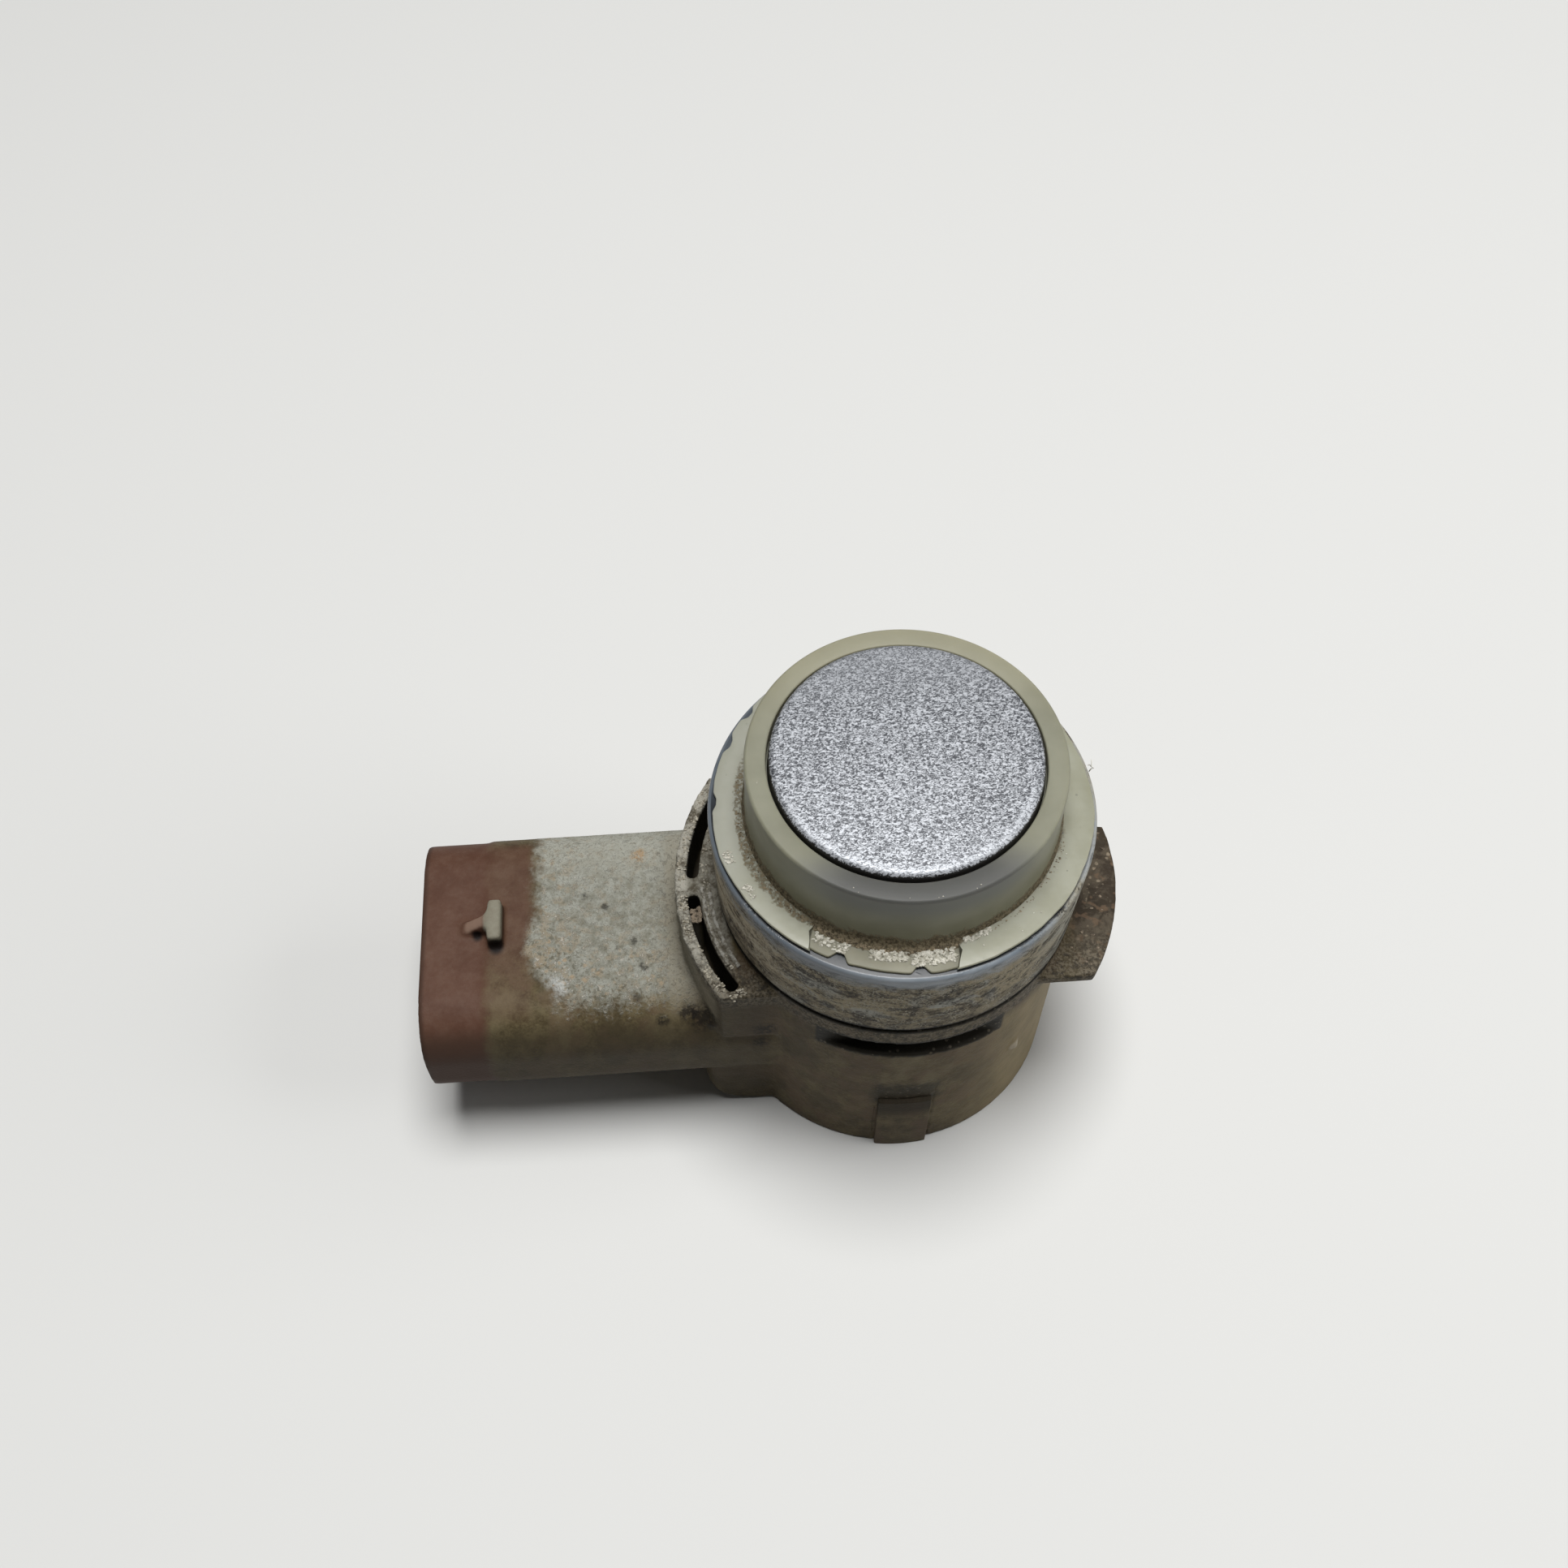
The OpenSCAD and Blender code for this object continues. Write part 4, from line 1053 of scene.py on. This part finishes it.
# Patches of grains: angles from and to, radii from and to, height, count and size
FLANGE_CRUST = [
    (-125, -113, 9.75, 10.35, FLANGE_TOP, 80, 0.19),
    (-106, -94, 9.65, 10.25, FLANGE_TOP, 120, 0.2),
    (-93, -79, 9.65, 10.5, FLANGE_TOP, 180, 0.2),
    (-75, -65, 9.35, 9.65, FILM_TOP, 60, 0.18),
    (-166, -161, 10.4, 10.9, FILM_TOP, 30, 0.16),
    (-153, -147, 10.3, 10.8, FILM_TOP, 28, 0.16),
    (-178, -172, 8.3, 8.5, LIP_TOP, 2, 0.09),
    (-120, -60, 8.7, 9.0, LIP_TOP, 7, 0.08),
    (-70, -20, 9.6, 10.6, FILM_TOP, 9, 0.1),
]
WALL_DIRT = [
    (-180, TEAR_FROM, 9.3, 9.75, ON_FILM, 260, 0.12),
    (TEAR_FROM, TEAR_TO, 9.3, 9.8, FLANGE_TOP, 330, 0.13),
    (TEAR_TO, -20, 9.3, 9.6, ON_FILM, 210, 0.11),
    (150, 180, 9.3, 9.7, ON_FILM, 70, 0.11),
]
EAR_CRUMBS = [
    (146, 214, 12.98, 13.5, ON_EAR, 240, 0.17),
    (150, 210, 11.45, 12.1, ON_EAR, 150, 0.16),
    (215.6, 218, 12.2, 13.3, ON_EAR, 30, 0.16),
    (142, 144.4, 12.2, 13.3, ON_EAR, 20, 0.16),
]
BROWN_CRUMBS = [
    (-33, 20, 11.7, 13.3, ON_EAR, 26, 0.22),
    (186.5, 190.5, 12.25, 12.9, IN_SLOT, 40, 0.3),
]


# The part

grimy_plastic = housing_finish()
done(housing_shell(), grimy_plastic, ["housing"])
done(packed_dirt(), grimy_plastic, smooth_angle=60)
done(snap_cover(), cover_finish(), ["rear_cover"], 30)
done(transducer_face(), silver_finish(), ["transducer_cup"], 50)
done(silicone_lip(), silicone_finish(), ["decoupling_ring"], 50)
done(flange_film(), film_finish(), smooth_angle=40)
done(clip_ring(), ring_finish(), ["retaining_ring"], 50)
white_crumbs = crumb_finish("white crust", rgb(0.29, 0.275, 0.218), rgb(0.58, 0.56, 0.49))
brown_crumbs = crumb_finish("brown dirt", rgb(0.055, 0.042, 0.024), rgb(0.24, 0.19, 0.12))
beige_crumbs = crumb_finish("beige dirt", rgb(0.16, 0.14, 0.10), rgb(0.42, 0.39, 0.32))
ear_dirt = crumb_finish("ear dirt", rgb(0.055, 0.042, 0.028), rgb(0.22, 0.175, 0.125))
for name, patches, seed, finish, slot in (
    ("flange_crust", FLANGE_CRUST, 11, white_crumbs, "silicone"),
    ("wall_dirt", WALL_DIRT, 23, brown_crumbs, "silicone"),
    ("ear_crumbs", EAR_CRUMBS, 37, beige_crumbs, "housing_plastic"),
    ("brown_crumbs", BROWN_CRUMBS, 53, ear_dirt, "housing_plastic"),
):
    done(scatter(name, patches, seed), finish, smooth_angle=25)
ridge_crust = crumb_finish("ridge crust", rgb(0.13, 0.115, 0.085), rgb(0.34, 0.33, 0.29))
done(collar_ridges(), ridge_crust)
fibre = crumb_finish("fluff", rgb(0.50, 0.49, 0.45), rgb(0.68, 0.67, 0.62))
done(fluff(), fibre)

# Inner parts: name of the finish, dark and light colour, roughness and share of metal
INNER = {
    "potting": ("potting gel", rgb(0.012, 0.012, 0.013), rgb(0.022, 0.022, 0.024), 0.4),
    "circuit_board": ("solder mask", rgb(0.012, 0.07, 0.03), rgb(0.02, 0.10, 0.045), 0.35),
    "sensor_chip": ("chip resin", rgb(0.008, 0.008, 0.008), rgb(0.016, 0.016, 0.016), 0.6),
    "transformer_core": ("ferrite", rgb(0.025, 0.025, 0.027), rgb(0.045, 0.045, 0.048), 0.55),
    "transformer_winding": ("copper wire", rgb(0.42, 0.15, 0.05), rgb(0.55, 0.22, 0.09), 0.35, 0.8),
    "buffer_capacitor": ("drawn can", rgb(0.55, 0.55, 0.57), rgb(0.66, 0.66, 0.68), 0.32, 1.0),
    "chip_capacitors": ("chip ceramic", rgb(0.20, 0.13, 0.07), rgb(0.28, 0.19, 0.10), 0.5),
    "chip_resistors": ("resistor film", rgb(0.01, 0.01, 0.012), rgb(0.02, 0.02, 0.022), 0.45),
    "piezo_disc": ("piezo ceramic", rgb(0.52, 0.46, 0.28), rgb(0.62, 0.56, 0.36), 0.6),
    "damping_pad": ("damping foam", rgb(0.58, 0.56, 0.50), rgb(0.70, 0.68, 0.62), 0.9),
    "hot_lead": ("red lead", rgb(0.24, 0.02, 0.015), rgb(0.32, 0.03, 0.02), 0.45),
    "ground_lead": ("black lead", rgb(0.008, 0.008, 0.008), rgb(0.016, 0.016, 0.016), 0.45),
}
for node, settings in INNER.items():
    dress(node, inner_finish(*settings))
tinned = inner_finish(
    "tinned contact", rgb(0.44, 0.42, 0.36), rgb(0.60, 0.58, 0.52), 0.34, metallic=0.9, size=3.5
)
for pin in ("supply_pin", "signal_pin", "ground_pin"):
    dress(pin, tinned)


# Floor, light and camera

FLOOR_SIZE = 0.7
FILL_STRENGTH = 0.06
# Name, place, size and power of each lamp, which points at the origin
LAMPS = [
    ("overhead softbox", (0.008, 0.04, 0.6), 0.29, 4.15),
    ("side softbox", (0.42, -0.04, 0.30), 0.3, 0.9),
]
SENSOR_WIDTH = 36.0
LENS = 39.13
CAMERA_PLACE = (-0.009963, -0.051017, 0.10947)
CAMERA_TURNS = [(-3.5, "Z"), (32.14, "X"), (-0.5, "Z")]


def floor_and_light():
    """A pale floor, a plain backdrop and two softboxes."""
    bpy.ops.object.select_all(action="DESELECT")
    bpy.ops.mesh.primitive_plane_add(size=FLOOR_SIZE, location=(0, 0, 0))
    floor = bpy.context.object
    floor.name = "floor"
    f = Finish("floor")
    f.set(Base_Color=rgb(0.60, 0.60, 0.585), Roughness=0.7, Specular_IOR_Level=0.2)
    floor.data.materials.append(f.material)

    world = bpy.data.worlds.new("studio")
    world.use_nodes = True
    tree = world.node_tree
    fill = tree.nodes["Background"]
    fill.inputs["Color"].default_value = rgb(1.0, 1.0, 0.99)
    fill.inputs["Strength"].default_value = FILL_STRENGTH
    backdrop = tree.nodes.new("ShaderNodeBackground")
    backdrop.inputs["Color"].default_value = rgb(0.62, 0.62, 0.61)
    seen = tree.nodes.new("ShaderNodeLightPath")
    either = tree.nodes.new("ShaderNodeMixShader")
    tree.links.new(seen.outputs["Is Camera Ray"], either.inputs[0])
    tree.links.new(fill.outputs[0], either.inputs[1])
    tree.links.new(backdrop.outputs[0], either.inputs[2])
    tree.links.new(either.outputs[0], tree.nodes["World Output"].inputs["Surface"])
    bpy.context.scene.world = world
    for name, place, size, power in LAMPS:
        lamp = bpy.data.lights.new(name, "AREA")
        lamp.shape = "DISK"
        lamp.size = size
        lamp.energy = power
        holder = bpy.data.objects.new(name, lamp)
        holder.location = place
        holder.rotation_euler = (-Vector(place)).to_track_quat("-Z", "Y").to_euler()
        bpy.context.scene.collection.objects.link(holder)


def add_camera():
    """The camera that was fitted to the photo's round edges."""
    camera = bpy.data.cameras.new("camera")
    camera.sensor_width = SENSOR_WIDTH
    camera.lens = LENS
    camera.clip_start = 0.005
    viewer = bpy.data.objects.new("camera", camera)
    bpy.context.scene.collection.objects.link(viewer)
    pose = Matrix.Translation(CAMERA_PLACE)
    for degrees, axis in CAMERA_TURNS:
        pose = pose @ Matrix.Rotation(math.radians(degrees), 4, axis)
    viewer.matrix_world = pose
    bpy.context.scene.camera = viewer


floor_and_light()
add_camera()
bpy.context.scene.view_settings.view_transform = "Standard"
